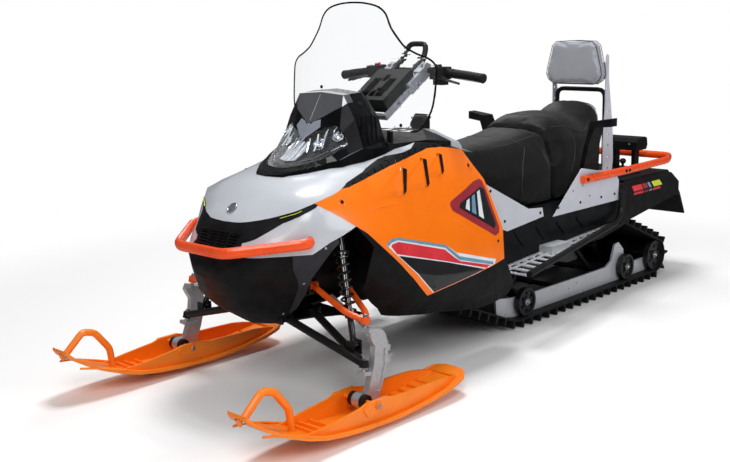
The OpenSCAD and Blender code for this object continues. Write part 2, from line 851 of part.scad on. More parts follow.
board_slope = 3.8;
module on_board() {
    translate([0, -80, 296])
        rotate([board_slope, 0, 0]) children();
}
module running_boards() {
    place()
        color("silver")
            both() {
                difference() {
                    on_board()
                        linear_extrude(height = 5)
                            polygon([[tunnel_hw + fit, 58], [tunnel_hw + 158.5, 58], [tunnel_hw + 97.5, 480],
                                [tunnel_hw + 65.9, 690], [tunnel_hw + 26.5, 950], [tunnel_hw + 12, 980],
                                [tunnel_hw + fit, 980]]);
                    for (i = [0 : 13])
                        on_board() {
                            translate([tunnel_hw + 14, 72 + i * 58, -5]) cube([24, 40, 20]);
                            if (i < 11)
                                translate([tunnel_hw + 48, 72 + i * 58, -5])
                                    cube([20 + (10 - i) * 7, 40, 20]);
                        }
                }
                difference() {
                    translate([tunnel_hw + fit, 300, 312]) cube([66, 142, 44]);
                    translate([tunnel_hw + fit, 309, 306]) cube([60, 124, 44]);
                }
            }
}

// Black tubes along the outer edges of the running boards
module board_tubes() {
    place()
        color("black")
            both()
                bent_tube(rounded([[tunnel_hw + 172, -24, 311], [tunnel_hw + 110, 400, 340],
                    [tunnel_hw + 38, 880, 370],
                    [tunnel_hw + 22, 950, 398], [tunnel_hw + 21, 966, 516]], 30, 3), edge_r, 12, 1);
}

deck_z = tunnel_z + 18;
module rear_body() {
    place()
        color("black") {
            intersection() {
                difference() {
                    section(both_halves(tunnel_half(6, 300)), 980, body_end);
                    section(both_halves(tunnel_half(fit, 290)), 970, body_end - 5.7);
                }
                side_prism([[980, 345], [980, 600], [body_end - 6, 600], [body_end, 500],
                    [body_end, 420], [1080, 362],
                    [1000, 350]], -tunnel_hw - 40, tunnel_hw + 40);
            }
            difference() {
                section([[44 - tunnel_hw, tunnel_z + 3], [tunnel_hw - 44, tunnel_z + 3],
                    [tunnel_hw - 56, deck_z],
                    [56 - tunnel_hw, deck_z]], 1100, body_end - 4);
                for (x = [-150 : 60 : 150])
                    translate([x - 8, 1130, deck_z - 3]) cube([16, 240, 10]);
            }
        }
}

module rear_rack() {
    half = tunnel_hw + 16.3;
    place()
        color("orangered")
            bent_tube(rounded([[half, 615, 604], [half, 1000, 604], [264, 1440, 606], [196, 1588, 606],
                [-196, 1588, 606], [-264, 1440, 606], [-half, 1000, 604],
                    [-half, 615, 604]], 40, 3), rack_r, 12, 1.45);
}

module tail_lamp() {
    place()
        color("black") {
            difference() {
                side_prism([[1426, 640], [1524, 640], [1536, 662], [1530, 698], [1514, 706],
                    [1434, 702], [1422, 684]],
                    -96, 96);
                both() translate([96, 1400, 694]) rotate([0, 45, 0]) cube([30, 200, 30], center = false);
            }
            for (x = [-66, 46])
                translate([x, 1460, deck_z + fit]) cube([20, 44, 642 - deck_z]);
        }
}

module snow_flap() {
    start = body_end + fit;
    place()
        color("black")
            side_prism([[start, 478], [1576, 478], [1632, 410], [1692, 298], [1686, 292], [1626, 396],
                [start, 446]],
                -240, 240);
}

module seat_plates() {
    place()
        color("silver")
            both() {
                side_prism([[-128, 690], [-110, 520], [60, 455], [327, 479], [317, 519], [213, 528]],
                    tunnel_hw + fit, tunnel_hw + 3);
                difference() {
                    side_prism([[400, 466], [958, 466], [958, 560], [912, 618], [760, 630],
                        [628, 655], [560, 600]],
                        tunnel_hw + fit, tunnel_hw + 3);
                    for (p = [[560, 560], [640, 575], [700, 520]])
                        translate([tunnel_hw - 5, p[0], p[1]]) rotate([0, 90, 0]) cylinder(r = 5, h = 20);
                }
                difference() {
                    side_prism([[1000, tunnel_z + 6.3], [1080, tunnel_z + 6.3], [1096, 640],
                        [1087, 781], [1077, 843], [1040, 1037],
                        [1038, 1140], [1022, 1150], [1012, 1140], [1012, 900],
                            [1000, 720]], upright_x, upright_x + 4);
                    for (z = [600 : 55 : 1000])
                        translate([upright_x - 5, 1046 - max(0, z - 820) * 0.12, z])
                            rotate([0, 90, 0]) cylinder(r = 6, h = 20);
                }
                side_prism([[1012, 1030], [1016, 1030], [1016, 1110], [1012, 1110]], 0, upright_x);
            }
}

// Ring of a seat from its y, top z, edge x and z, shoulder x and z, side x and z, and the foot's x and z
seat_low = tunnel_z + 0.4;
foot_hw = tunnel_hw - 32;
function seat_ring(s) = half_ring(s[0], [
    [0, s[1]], [s[2] * 0.6, mix(s[1], s[3], 0.25)], [s[2], s[3]],
        [mix(s[2], s[4], 0.6) + 4, mix(s[3], s[5], 0.45) + 4], [s[4], s[5]],
    [s[6], s[7]], [s[8], max(s[9], seat_low)], [0, max(s[9], seat_low)]]);

module seat_front() {
    place()
        color("black")
            loft([for (s = smooth([
                [-119, 792, 70, 786, 105, 760, 115, 728, 108, 712],
                [0, 798, 85, 790, 140, 752, 186, 700, 190, 640],
                [150, 806, 100, 798, 165, 752, foot_hw - 18, 650, foot_hw - 16, 565],
                [300, 820, 112, 810, 178, 762, foot_hw - 6, 650, foot_hw - 2, seat_low],
                [400, 836, 118, 826, 184, 776, foot_hw - 2, 660, foot_hw, seat_low],
                [470, 852, 124, 842, 188, 786, foot_hw, 665, foot_hw, seat_low]
            ], 2)) seat_ring(s)]);
}

module seat_rear() {
    place()
        color("black")
            loft([for (s = smooth([
                [470.4, 870, 126, 858, 192, 798, foot_hw, 680, foot_hw, seat_low],
                [560, 900, 136, 886, 200, 815, foot_hw, 700, foot_hw, seat_low],
                [680, 899, 138, 884, 194, 820, foot_hw - 18, 720, foot_hw - 16, seat_low],
                [790, 881, 132, 868, 182, 815, 186, 720, 180, 540],
                [860, 896, 126, 884, 170, 835, 170, 735, 168, 560],
                [930, 930, 112, 920, 156, 868, 158, 750, 158, 600],
                [985, 936, 98, 924, 144, 866, 148, 750, 150, 620]
            ], 2)) seat_ring(s)]);
}

module backrest_frame() {
    frame_x = upright_x - 11.4;
    place()
        color("black")
            bent_tube(rounded([[frame_x, 1033, tunnel_z + 6.3], [frame_x, 1033, 979],
                [-frame_x, 1033, 979],
                [-frame_x, 1033, tunnel_z + 6.3]], 40, 4), 11, 12, 1);
}

pad_front = [[0, 1000], [124, 1000], [150, 1022], [162, 1050], [158, 1080], [128, 1196], [104, 1216],
    [0, 1220]];
module backrest_pad() {
    place()
        color("gray")
            front_region(pad_front, 958, 1011.7, 0);
}

guard_x = tunnel_hw - 0.5;
module passenger_grips() {
    place()
        color("black")
            both()
                loft([
                    [[guard_x - 24, 690, 560], [guard_x - 24, 800, 560], [guard_x, 800, 560],
                        [guard_x, 690, 560]],
                    [[guard_x - 22, 652, 664], [guard_x - 22, 778, 664], [guard_x, 778, 664],
                        [guard_x, 652, 664]],
                    [[268, 640, 762], [268, 735, 762], [290, 735, 758], [290, 640, 758]],
                    [[298, 640, 866], [298, 716, 866], [318, 716, 838], [318, 640, 838]],
                    [[396, 652, 882], [396, 700, 882], [396, 700, 846], [396, 652, 846]]
                ]);
}

// Ground line inside the belt, and the places of the wheels
floor_z = lug_h + belt_t + 2;
front_y = 250;
mid_y = 1110;

// Track loop: the belt wraps these wheels, given as y, z and radius
wraps = [[-330, 330, sprocket_r], [830, 360, 60], [idler_y, floor_z + idler_r, idler_r],
    [215, floor_z + 300, 300]];
function reach(w, n) = w[2] > 200 && n[1] > -0.1 ? -9999 : w[0] * n[0] + w[1] * n[1] + w[2];
function best(n, i = 0, b = 0) = i == len(wraps) ? wraps[b]
    : best(n, i + 1, reach(wraps[i], n) > reach(wraps[b], n) ? i : b);
function loop_points(off) = [for (a = [0 : 6 : 354]) let (n = [cos(a), sin(a)], w = best(n)) [w[0],
    w[1]] + (w[2] + off) * n];

belt_line = loop_points(belt_t);
function edge(i) = norm(belt_line[(i + 1) % len(belt_line)] - belt_line[i]);
function run(i) = i == 0 ? 0 : run(i - 1) + edge(i - 1);
lengths = [for (i = [0 : len(belt_line)]) run(i)];
belt_length = lengths[len(belt_line)];
lug_count = round(belt_length / 66);
function segment(s, i = 0) = i >= len(belt_line) - 1 || lengths[i + 1] > s ? i : segment(s, i + 1);
function lug_at(k) = let (s = k * belt_length / lug_count, i = segment(s), a = belt_line[i],
    b = belt_line[(i + 1) % len(belt_line)], t = unit(b - a), p = a + t * (s - lengths[i]), n = [t[1],
        -t[0]])
    [p - t * 9 - n * 4, p - t * 5 + n * lug_h, p + t * 5 + n * lug_h, p + t * 9 - n * 4];

module track() {
    place()
        color("black")
            translate([-track_w / 2, 0, 0])
                rotate([90, 0, 90])
                    difference() {
                        linear_extrude(height = track_w)
                            difference() {
                                union() {
                                    polygon(belt_line);
                                    for (k = [0 : lug_count - 1])
                                        polygon(lug_at(k));
                                }
                                polygon(loop_points(0));
                            }
                        for (x = [track_w * 0.32, track_w * 0.62])
                            translate([0, 0, x])
                                linear_extrude(height = track_w * 0.06)
                                    difference() {
                                        offset(delta = lug_h + 10) polygon(belt_line);
                                        polygon(belt_line);
                                    }
                    }
}

// Skid frame inside the track
rail_side = concat([for (a = [30 : -7 : 2]) [215 - 298 * sin(a), floor_z + 300 - 298 * cos(a)]],
    [[1340, floor_z + 1], [1404, floor_z + 20], [1404, 100], [1330, 112], [1180, 108], [1130, 120],
        [1122, 190], [1075, 232], [1040, 226],
        [1010, 150], [960, 126], [300, 126], [180, 134], [60, 150]]);
module slide_rails() {
    place()
        color("lightgray")
            both() side_prism(rail_side, 196, 206);
}

tunnel_in = tunnel_hw - tunnel_t - fit;
module skid_arms() {
    place()
        color("black") {
            both() {
                rod([120, 330, 100], [120, 20, 390], 13);
                rod([120, 940, 112], [120, 640, 400], 13);
            }
            for (p = [[330, 100, 195.7], [20, 390, tunnel_in], [940, 112, 195.7],
                [640, 400, tunnel_in], [620, 90, 195.7]])
                rod([-p[2], p[0], p[1]], [p[2], p[0], p[1]], 12);
            rod([0, 75, 335], [0, 620, 90], 17);
            rod([60, 640, 400], [60, 330, 100], 17);
        }
}

module wheel(x, y, z, r) {
    translate([x, y, z])
        rotate([0, 90, 0])
            difference() {
                cylinder(r = r - 1, h = 26);
                difference() {
                    translate([0, 0, 20]) cylinder(r = r - 13, h = 10);
                    translate([0, 0, 19]) cylinder(r = 24, h = 12);
                }
                for (a = [0 : 60 : 300])
                    rotate([0, 0, a]) translate([r * 0.6, 0, -1])
                        cylinder(r = r * 0.12, h = 30, $fn = 16);
            }
}
module skid_wheels() {
    place()
        color("black") {
            both() {
                for (w = [[front_y, wheel_r, wheel_r + 1], [mid_y, wheel_r, wheel_r],
                    [idler_y, idler_r, idler_r]])
                    wheel(213, w[0], floor_z + w[2], w[1]);
                for (y = [front_y, mid_y])
                    rod([206.3, y, floor_z + wheel_r + 0.5], [214, y, floor_z + wheel_r + 0.5], 16);
                wheel(140, 830, 360, 60);
                wheel(60, idler_y, floor_z + idler_r, idler_r);
            }
            rod([-214, idler_y, floor_z + idler_r], [214, idler_y, floor_z + idler_r], 11);
            rod([-tunnel_in, 830, 360], [tunnel_in, 830, 360], 11);
        }
}

module drive_axle() {
    place()
        color("dimgray") {
            rod([-tunnel_in, -330, 330], [tunnel_in, -330, 330], 14);
            both()
                translate([90, -330, 330])
                    rotate([0, 90, 0])
                        difference() {
                            cylinder(r = sprocket_r - 1, h = 40);
                            for (a = [0 : 45 : 315])
                                rotate([0, 0, a]) translate([52, 0, -1])
                                    cylinder(r = 13, h = 42, $fn = 20);
                        }
        }
}

ski_left();
ski_right();
ski_damper_left();
ski_damper_right();
spindle_left();
spindle_right();
tie_rod_left();
tie_rod_right();
lower_arms();
upper_arms();
shocks();
bulkhead();
engine();
belly_pan();
shock_covers();
hood();
grille();
side_panels();
side_skirts();
vent_strips();
cowl();
headlamps();
visor();
windshield();
console();
tank_cover();
front_bumper();
steering_riser();
handlebar();
controls();
bar_pad();
tunnel();
running_boards();
board_tubes();
rear_body();
rear_rack();
tail_lamp();
snow_flap();
seat_plates();
seat_front();
seat_rear();
backrest_frame();
backrest_pad();
passenger_grips();
slide_rails();
skid_arms();
skid_wheels();
drive_axle();
track();
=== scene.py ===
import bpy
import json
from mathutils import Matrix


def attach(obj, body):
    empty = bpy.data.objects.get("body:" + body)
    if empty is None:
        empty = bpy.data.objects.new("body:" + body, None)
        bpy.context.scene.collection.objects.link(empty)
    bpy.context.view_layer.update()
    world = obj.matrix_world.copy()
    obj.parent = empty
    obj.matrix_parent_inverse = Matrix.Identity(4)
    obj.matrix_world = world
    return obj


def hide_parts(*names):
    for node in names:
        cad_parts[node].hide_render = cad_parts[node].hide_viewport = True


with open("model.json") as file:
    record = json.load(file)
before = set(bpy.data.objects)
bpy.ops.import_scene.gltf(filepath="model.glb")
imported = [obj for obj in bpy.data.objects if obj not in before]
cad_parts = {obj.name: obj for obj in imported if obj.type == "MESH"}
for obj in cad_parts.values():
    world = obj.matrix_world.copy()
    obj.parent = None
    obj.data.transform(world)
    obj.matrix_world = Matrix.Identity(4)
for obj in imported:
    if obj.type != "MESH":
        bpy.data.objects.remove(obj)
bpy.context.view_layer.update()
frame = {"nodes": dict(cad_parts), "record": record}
print("frame loaded")

import json
import math
import random

import bmesh
import bpy
from mathutils import Matrix, Vector
from mathutils.bvhtree import BVHTree

nodes = frame["nodes"]
random.seed(7)

# Camera at the photograph's angle
camera = {
    "place": (2.8202, -3.5374, 1.3322),
    "azimuth": 43.389,
    "elevation": 11.237,
    "roll": -1.156,
    "lens": 52.48,
}


def makeCamera(spec):
    az, el, roll = (math.radians(spec[key]) for key in ("azimuth", "elevation", "roll"))
    back = Vector((math.sin(az) * math.cos(el), -math.cos(az) * math.cos(el), math.sin(el)))
    right = (-back).cross(Vector((0, 0, 1))).normalized()
    up = right.cross(-back)
    across = right * math.cos(roll) + up * math.sin(roll)
    upward = up * math.cos(roll) - right * math.sin(roll)
    data = bpy.data.cameras.new("camera")
    data.sensor_width = 36
    data.lens = spec["lens"]
    obj = bpy.data.objects.new("camera", data)
    turn = Matrix((across, upward, back)).transposed().to_4x4()
    obj.matrix_world = Matrix.Translation(Vector(spec["place"])) @ turn
    bpy.context.scene.collection.objects.link(obj)
    bpy.context.scene.camera = obj


makeCamera(camera)


# Materials

def toLinear(hexColor):
    values = [int(hexColor[i:i + 2], 16) / 255 for i in (1, 3, 5)]
    return tuple(v / 12.92 if v <= 0.04045 else ((v + 0.055) / 1.055) ** 2.4 for v in values) + (1.0,)


def addNode(tree, kind, settings=None, values=None, links=None):
    node = tree.nodes.new(kind)
    for key, value in (settings or {}).items():
        setattr(node, key, value)
    for key, value in (values or {}).items():
        node.inputs[key].default_value = value
    for key, source in (links or {}).items():
        tree.links.new(source, node.inputs[key])
    return node


# grain: size and height in mm of the bump; mottle: size in mm and second colour; haze: spread of roughness
finishes = {
    # moulded UHMW polyethylene: waxy, coloured through, faint flow marks
    "skiPolyethylene": {"color": "#ff8516", "rough": 0.34, "ior": 1.51, "grain": ("noise", 5.0, 0.10),
                        "mottle": (90, "#f78115"), "haze": 0.10},
    # satin cast aluminium: sandy skin with a soft grey sheen
    "castAluminium": {"color": "#cfd0d3", "rough": 0.36, "metal": 0.65, "grain": ("noise", 2.4, 0.22),
                      "mottle": (14, "#c1c1c4"), "haze": 0.16},
    # black powder coat on steel: fine orange peel, low gloss
    "blackPowderCoat": {"color": "#131416", "rough": 0.38, "ior": 1.5, "grain": ("noise", 2.2, 0.07),
                        "mottle": (30, "#1a1b1d"), "spec": 0.25, "haze": 0.10},
    # baked lacquer on the shocks and springs: deep gloss with small bright glints
    "springLacquer": {"color": "#0b0b0c", "rough": 0.14, "ior": 1.5, "coat": 0.8, "grain": ("noise", 4.0, 0.03),
                      "mottle": (60, "#0e0e10"), "haze": 0.06},
    # orange powder coat on the arms: the same peel, brighter
    "orangePowderCoat": {"color": "#f0601c", "rough": 0.32, "ior": 1.5, "grain": ("noise", 2.2, 0.06),
                         "mottle": (40, "#dd4d10"), "haze": 0.08},
    # gloss red-orange enamel on bent tube: wet highlights along the bends
    "orangeEnamel": {"color": "#f9581c", "rough": 0.28, "ior": 1.5, "coat": 0.2, "grain": ("noise", 6.0, 0.03),
                     "mottle": (120, "#f14c12"), "haze": 0.05},
    # textured black polypropylene: pebbled moulding that scatters light
    "blackPolypropylene": {"color": "#101113", "rough": 0.46, "ior": 1.49, "grain": ("pebble", 2.6, 0.16),
                           "mottle": (50, "#191a1c"), "spec": 0.12, "haze": 0.14},
    # dark grey polypropylene of the cover plates: paler and flatter
    "greyPolypropylene": {"color": "#2c2e33", "rough": 0.5, "ior": 1.49, "grain": ("pebble", 2.6, 0.14),
                          "mottle": (60, "#33353b"), "spec": 0.2, "haze": 0.12},
    # light grey gloss ABS under clear lacquer: soft wide reflections
    "greyAbs": {"color": "#c6cad1", "rough": 0.3, "ior": 1.53, "coat": 0.3, "grain": ("noise", 9.0, 0.03),
                "mottle": (180, "#c0c4cb"), "haze": 0.05},
    # bright orange gloss ABS under clear lacquer
    "orangeAbs": {"color": "#ff7902", "rough": 0.3, "ior": 1.53, "coat": 0.15, "grain": ("noise", 9.0, 0.03),
                  "mottle": (220, "#f77502"), "haze": 0.05, "spec": 0.35},
    # satin black ABS of the cowl: dark, with a weak wide highlight
    "blackAbs": {"color": "#08090b", "rough": 0.26, "ior": 1.53, "spec": 0.08, "grain": ("noise", 9.0, 0.03),
                 "mottle": (70, "#111215"), "haze": 0.05},
    # smoked polycarbonate over black: dark, deep gloss
    "smokedPolycarbonate": {"color": "#4b4c51", "rough": 0.08, "ior": 1.585, "coat": 1.0,
                            "grain": ("noise", 14.0, 0.02), "mottle": (90, "#494a4f"), "haze": 0.03},
    # retroreflective grey film: tiny cells, bright but soft
    "reflectorFilm": {"color": "#9a9fae", "rough": 0.3, "metal": 0.3, "coat": 0.5, "grain": ("pebble", 3.0, 0.1),
                      "mottle": (8, "#959aa9"), "haze": 0.08},
    # satin anodised tube of the riser: cool silver, brushed along
    "satinAnodised": {"color": "#c3c7d0", "rough": 0.32, "metal": 0.6, "grain": ("brush", 1.8, 0.05),
                      "mottle": (25, "#bdc1ca"), "haze": 0.12},
    # moulded grip rubber: matt with a faint bloom
    "gripRubber": {"color": "#111112", "rough": 0.58, "ior": 1.52, "grain": ("pebble", 2.2, 0.14),
                   "mottle": (16, "#181819"), "spec": 0.3, "haze": 0.12},
    # black expanded vinyl of the seats: leather grain, satin folds
    "seatVinyl": {"color": "#0d0d0e", "rough": 0.44, "ior": 1.5, "grain": ("leather", 3.4, 0.28),
                  "mottle": (120, "#0c0c0d"), "spec": 0.12, "haze": 0.14, "sheen": 0.08},
    # smooth gripper vinyl of the seat tops
    "seatTopVinyl": {"color": "#101011", "rough": 0.52, "ior": 1.5, "grain": ("leather", 2.6, 0.2),
                     "mottle": (80, "#0f0f10"), "spec": 0.15, "haze": 0.12, "sheen": 0.1},
    # mid grey vinyl of the backrest
    "greyVinyl": {"color": "#a2a5ac", "rough": 0.5, "ior": 1.5, "grain": ("leather", 3.0, 0.2),
                  "mottle": (90, "#9da0a7"), "haze": 0.1, "sheen": 0.06},
    # waxed nylon thread in a seam: a shade paler than the vinyl
    "nylonThread": {"color": "#3a3a3d", "rough": 0.6, "ior": 1.53, "grain": ("brush", 1.2, 0.1),
                    "mottle": (6, "#2e2e31"), "haze": 0.1},
    # light grey painted sheet of the side plates: satin, crisp edges
    "greySatinPaint": {"color": "#c9cbd5", "rough": 0.36, "ior": 1.5, "grain": ("noise", 3.0, 0.04),
                       "mottle": (80, "#c3c5cf"), "haze": 0.08},
    # black coated aluminium of the tunnel: smooth with a cold sheen
    "blackCoatedSheet": {"color": "#0b0c0e", "rough": 0.36, "ior": 1.5, "grain": ("noise", 4.0, 0.05),
                         "mottle": (70, "#17191d"), "spec": 0.12, "haze": 0.12},
    # punched aluminium of the boards: pale, worn by boots
    "punchedAluminium": {"color": "#d2d5da", "rough": 0.4, "metal": 0.4, "grain": ("brush", 2.5, 0.1),
                         "mottle": (18, "#cccfd3"), "haze": 0.2},
    # extruded rail aluminium: drawn lines along its length
    "railAluminium": {"color": "#cfd2d8", "rough": 0.34, "metal": 0.45, "grain": ("brush", 2.0, 0.06),
                      "mottle": (30, "#c9ccd2"), "haze": 0.14},
    # glass filled nylon of the wheels: black, slightly oily sheen
    "wheelNylon": {"color": "#0f1012", "rough": 0.36, "ior": 1.53, "grain": ("noise", 3.0, 0.08),
                   "mottle": (20, "#161719"), "spec": 0.4, "haze": 0.12},
    # moulded track rubber: matt, dusty in the corners
    "trackRubber": {"color": "#0e0e0f", "rough": 0.62, "ior": 1.52, "grain": ("pebble", 3.2, 0.2),
                    "mottle": (24, "#161617"), "spec": 0.3, "haze": 0.14},
    # thin flap rubber: smooth, bends to a soft shine
    "flapRubber": {"color": "#0f0f10", "rough": 0.48, "ior": 1.52, "grain": ("noise", 4.0, 0.08),
                   "mottle": (60, "#161617"), "spec": 0.35, "haze": 0.14},
    # zinc plated fasteners: bright with a bluish tone
    "zincPlate": {"color": "#c9ced6", "rough": 0.26, "metal": 1.0, "grain": ("noise", 2.0, 0.05),
                  "mottle": (5, "#a9afb9"), "haze": 0.12},
    # black oxide fasteners
    "blackOxide": {"color": "#141517", "rough": 0.4, "metal": 0.6, "grain": ("noise", 2.0, 0.05),
                   "mottle": (5, "#1f2023"), "haze": 0.1},
    # vacuum metallised lamp bowl: mirror with a faint ripple
    "lampChrome": {"color": "#e6e9ee", "rough": 0.1, "metal": 1.0, "grain": ("noise", 18.0, 0.12),
                   "mottle": (30, "#c3c8d1"), "haze": 0.05},
    # smoked metallised shell between the bowls: dark mirror
    "lampShade": {"color": "#3a3d43", "rough": 0.22, "metal": 0.9, "grain": ("noise", 12.0, 0.08),
                  "mottle": (20, "#24262a"), "haze": 0.08},
    # red acrylic of the tail lens
    "redAcrylic": {"color": "#a8101a", "rough": 0.14, "ior": 1.49, "coat": 0.8, "grain": ("pebble", 5.0, 0.15),
                   "mottle": (20, "#c21a24"), "haze": 0.04},
    # red anodised adjuster rings
    "redAnodised": {"color": "#c02030", "rough": 0.3, "metal": 0.7, "grain": ("brush", 1.5, 0.04),
                    "mottle": (10, "#a01826"), "haze": 0.1},
    # yellow reflective film: small cells under a clear skin
    "yellowFilm": {"color": "#cfdc3a", "rough": 0.3, "ior": 1.5, "coat": 0.5, "grain": ("pebble", 3.0, 0.04),
                   "mottle": (20, "#c2cf2a"), "haze": 0.06},
}
# printed vinyl films of the stripes: colour and mottle colour
films = {
    "blackFilm": ("#111215", "#17181b"), "redFilm": ("#dd3540", "#cf2a36"), "darkRedFilm": ("#9e2a38", "#902532"),
    "slateFilm": ("#6f9bb4", "#648fa8"), "whiteFilm": ("#e9ebef", "#dde0e6"),
}
for name, (color, second) in films.items():
    finishes[name] = {"color": color, "rough": 0.3, "ior": 1.5, "coat": 0.5, "grain": ("noise", 8.0, 0.02),
                      "mottle": (60, second), "haze": 0.06}


def bumpSource(tree, place, kind, scale):
    if kind == "pebble":
        return addNode(tree, "ShaderNodeTexVoronoi", {"feature": "SMOOTH_F1"},
                       {"Scale": scale, "Smoothness": 0.6}, {"Vector": place}).outputs["Distance"]
    if kind == "leather":
        cells = addNode(tree, "ShaderNodeTexVoronoi", {"feature": "DISTANCE_TO_EDGE"},
                        {"Scale": scale}, {"Vector": place}).outputs["Distance"]
        return addNode(tree, "ShaderNodeMapRange", None, {"From Max": 0.25}, {"Value": cells}).outputs["Result"]
    if kind == "brush":
        streaks = addNode(tree, "ShaderNodeMapping", None, {"Scale": (1.0, 0.06, 1.0)}, {"Vector": place})
        return addNode(tree, "ShaderNodeTexNoise", None, {"Scale": scale, "Detail": 3.0},
                       {"Vector": streaks.outputs["Vector"]}).outputs["Fac"]
    return addNode(tree, "ShaderNodeTexNoise", None, {"Scale": scale, "Detail": 2.0}, {"Vector": place}).outputs["Fac"]


def makeFinish(name, spec):
    mat = bpy.data.materials.new(name)
    mat.use_nodes = True
    tree = mat.node_tree
    shader = tree.nodes["Principled BSDF"]
    place = addNode(tree, "ShaderNodeTexCoord").outputs["Object"]
    mottleSize, second = spec["mottle"]
    cloud = addNode(tree, "ShaderNodeTexNoise", None, {"Scale": 1000 / mottleSize, "Detail": 4.0, "Roughness": 0.6},
                    {"Vector": place}).outputs["Fac"]
    share = addNode(tree, "ShaderNodeMapRange", None, {"From Min": 0.35, "From Max": 0.65}, {"Value": cloud})
    tone = addNode(tree, "ShaderNodeMix", {"data_type": "RGBA"}, None, {"Factor": share.outputs["Result"]})
    tone.inputs["A"].default_value = toLinear(spec["color"])
    tone.inputs["B"].default_value = toLinear(second)
    tree.links.new(tone.outputs["Result"], shader.inputs["Base Color"])
    rub = addNode(tree, "ShaderNodeTexNoise", None, {"Scale": 1000 / (mottleSize * 0.6), "Detail": 5.0},
                  {"Vector": place}).outputs["Fac"]
    spread = addNode(tree, "ShaderNodeMapRange", None, {
        "From Min": 0.3, "From Max": 0.7, "To Min": spec["rough"] - spec["haze"] / 2,
        "To Max": spec["rough"] + spec["haze"] / 2}, {"Value": rub})
    tree.links.new(spread.outputs["Result"], shader.inputs["Roughness"])
    kind, size, height = spec["grain"]
    relief = bumpSource(tree, place, kind, 1000 / size)
    bump = addNode(tree, "ShaderNodeBump", None, {"Strength": 0.6, "Distance": height / 1000}, {"Height": relief})
    tree.links.new(bump.outputs["Normal"], shader.inputs["Normal"])
    shader.inputs["Metallic"].default_value = spec.get("metal", 0.0)
    shader.inputs["Specular IOR Level"].default_value = spec.get("spec", 0.5)
    if "ior" in spec:
        shader.inputs["IOR"].default_value = spec["ior"]
    shader.inputs["Coat Weight"].default_value = spec.get("coat", 0.0)
    shader.inputs["Coat Roughness"].default_value = 0.06
    shader.inputs["Sheen Weight"].default_value = spec.get("sheen", 0.0)
    return mat


# clear polycarbonate: a sheet that shows only its edges and a few highlights
def makeClear(name, tint, rough, ior):
    mat = bpy.data.materials.new(name)
    mat.use_nodes = True
    tree = mat.node_tree
    shader = tree.nodes["Principled BSDF"]
    shader.inputs["Base Color"].default_value = toLinear(tint)
    shader.inputs["Transmission Weight"].default_value = 1.0
    shader.inputs["IOR"].default_value = ior
    place = addNode(tree, "ShaderNodeTexCoord").outputs["Object"]
    haze = addNode(tree, "ShaderNodeTexNoise", None, {"Scale": 6.0, "Detail": 4.0}, {"Vector": place}).outputs["Fac"]
    spread = addNode(tree, "ShaderNodeMapRange", None, {"To Min": rough * 0.5, "To Max": rough * 1.5}, {"Value": haze})
    tree.links.new(spread.outputs["Result"], shader.inputs["Roughness"])
    return mat


materials = {name: makeFinish(name, spec) for name, spec in finishes.items()}
materials["clearPolycarbonate"] = makeClear("clearPolycarbonate", "#fcfdfe", 0.01, 1.3)
materials["clearLens"] = makeClear("clearLens", "#fdfeff", 0.004, 1.3)

slotFinish = {
    "ski_plastic": "skiPolyethylene", "spindle_metal": "castAluminium", "black_steel": "blackPowderCoat",
    "orange_steel": "orangePowderCoat", "shock_metal": "springLacquer", "engine_block": "blackPowderCoat",
    "black_plastic": "blackPolypropylene", "grey_panel": "greyAbs", "orange_panel": "orangeAbs",
    "gloss_black": "blackAbs", "lamp_lens": "clearLens", "tinted_glass": "smokedPolycarbonate",
    "clear_screen": "clearPolycarbonate", "orange_tube": "orangeEnamel", "silver_tube": "satinAnodised",
    "grip_rubber": "gripRubber", "pad_black": "gripRubber", "tunnel_metal": "blackCoatedSheet",
    "board_metal": "punchedAluminium", "grey_plate": "greySatinPaint", "seat_cover": "seatVinyl",
    "pad_cover": "greyVinyl", "flap_rubber": "flapRubber", "rail_metal": "railAluminium",
    "wheel_black": "wheelNylon", "damper_rubber": "flapRubber", "cover_plastic": "greyPolypropylene",
    "track_rubber": "trackRubber",
}
for part in frame["record"]["subparts"]:
    mesh = nodes[part["node"]].data
    mesh.materials.clear()
    mesh.materials.append(materials[slotFinish[part["material_slot"]]])
print("materials done")


# Helpers for the pieces; lengths in the tables are millimetres along the sled's own axes

sidesNamed = ((1, "Left"), (-1, "Right"))


def mm(x, y, z):
    return Vector((x / 1000, y / 1000 - 0.03, z / 1000))


def dress(obj, finish, body="chassis"):
    if obj.name not in bpy.context.scene.collection.objects:
        bpy.context.scene.collection.objects.link(obj)
    obj.data.materials.clear()
    obj.data.materials.append(materials[finish])
    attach(obj, body)
    return obj


def fromBmesh(bm, name, finish, body="chassis", angle=35):
    bmesh.ops.recalc_face_normals(bm, faces=bm.faces)
    mesh = bpy.data.meshes.new(name)
    bm.to_mesh(mesh)
    bm.free()
    mesh.polygons.foreach_set("use_smooth", [True] * len(mesh.polygons))
    mesh.set_sharp_from_angle(angle=math.radians(angle))
    return dress(bpy.data.objects.new(name, mesh), finish, body)


def curved(points, steps=6):
    out = []
    for i in range(len(points) - 1):
        p0, p1 = points[max(i - 1, 0)], points[i]
        p2, p3 = points[i + 1], points[min(i + 2, len(points) - 1)]
        for k in range(steps):
            t = k / steps
            out.append(0.5 * (2 * p1 + (p2 - p0) * t + (2 * p0 - 5 * p1 + 4 * p2 - p3) * t * t
                              + (3 * p1 - p0 - 3 * p2 + p3) * t * t * t))
    out.append(points[-1])
    return out


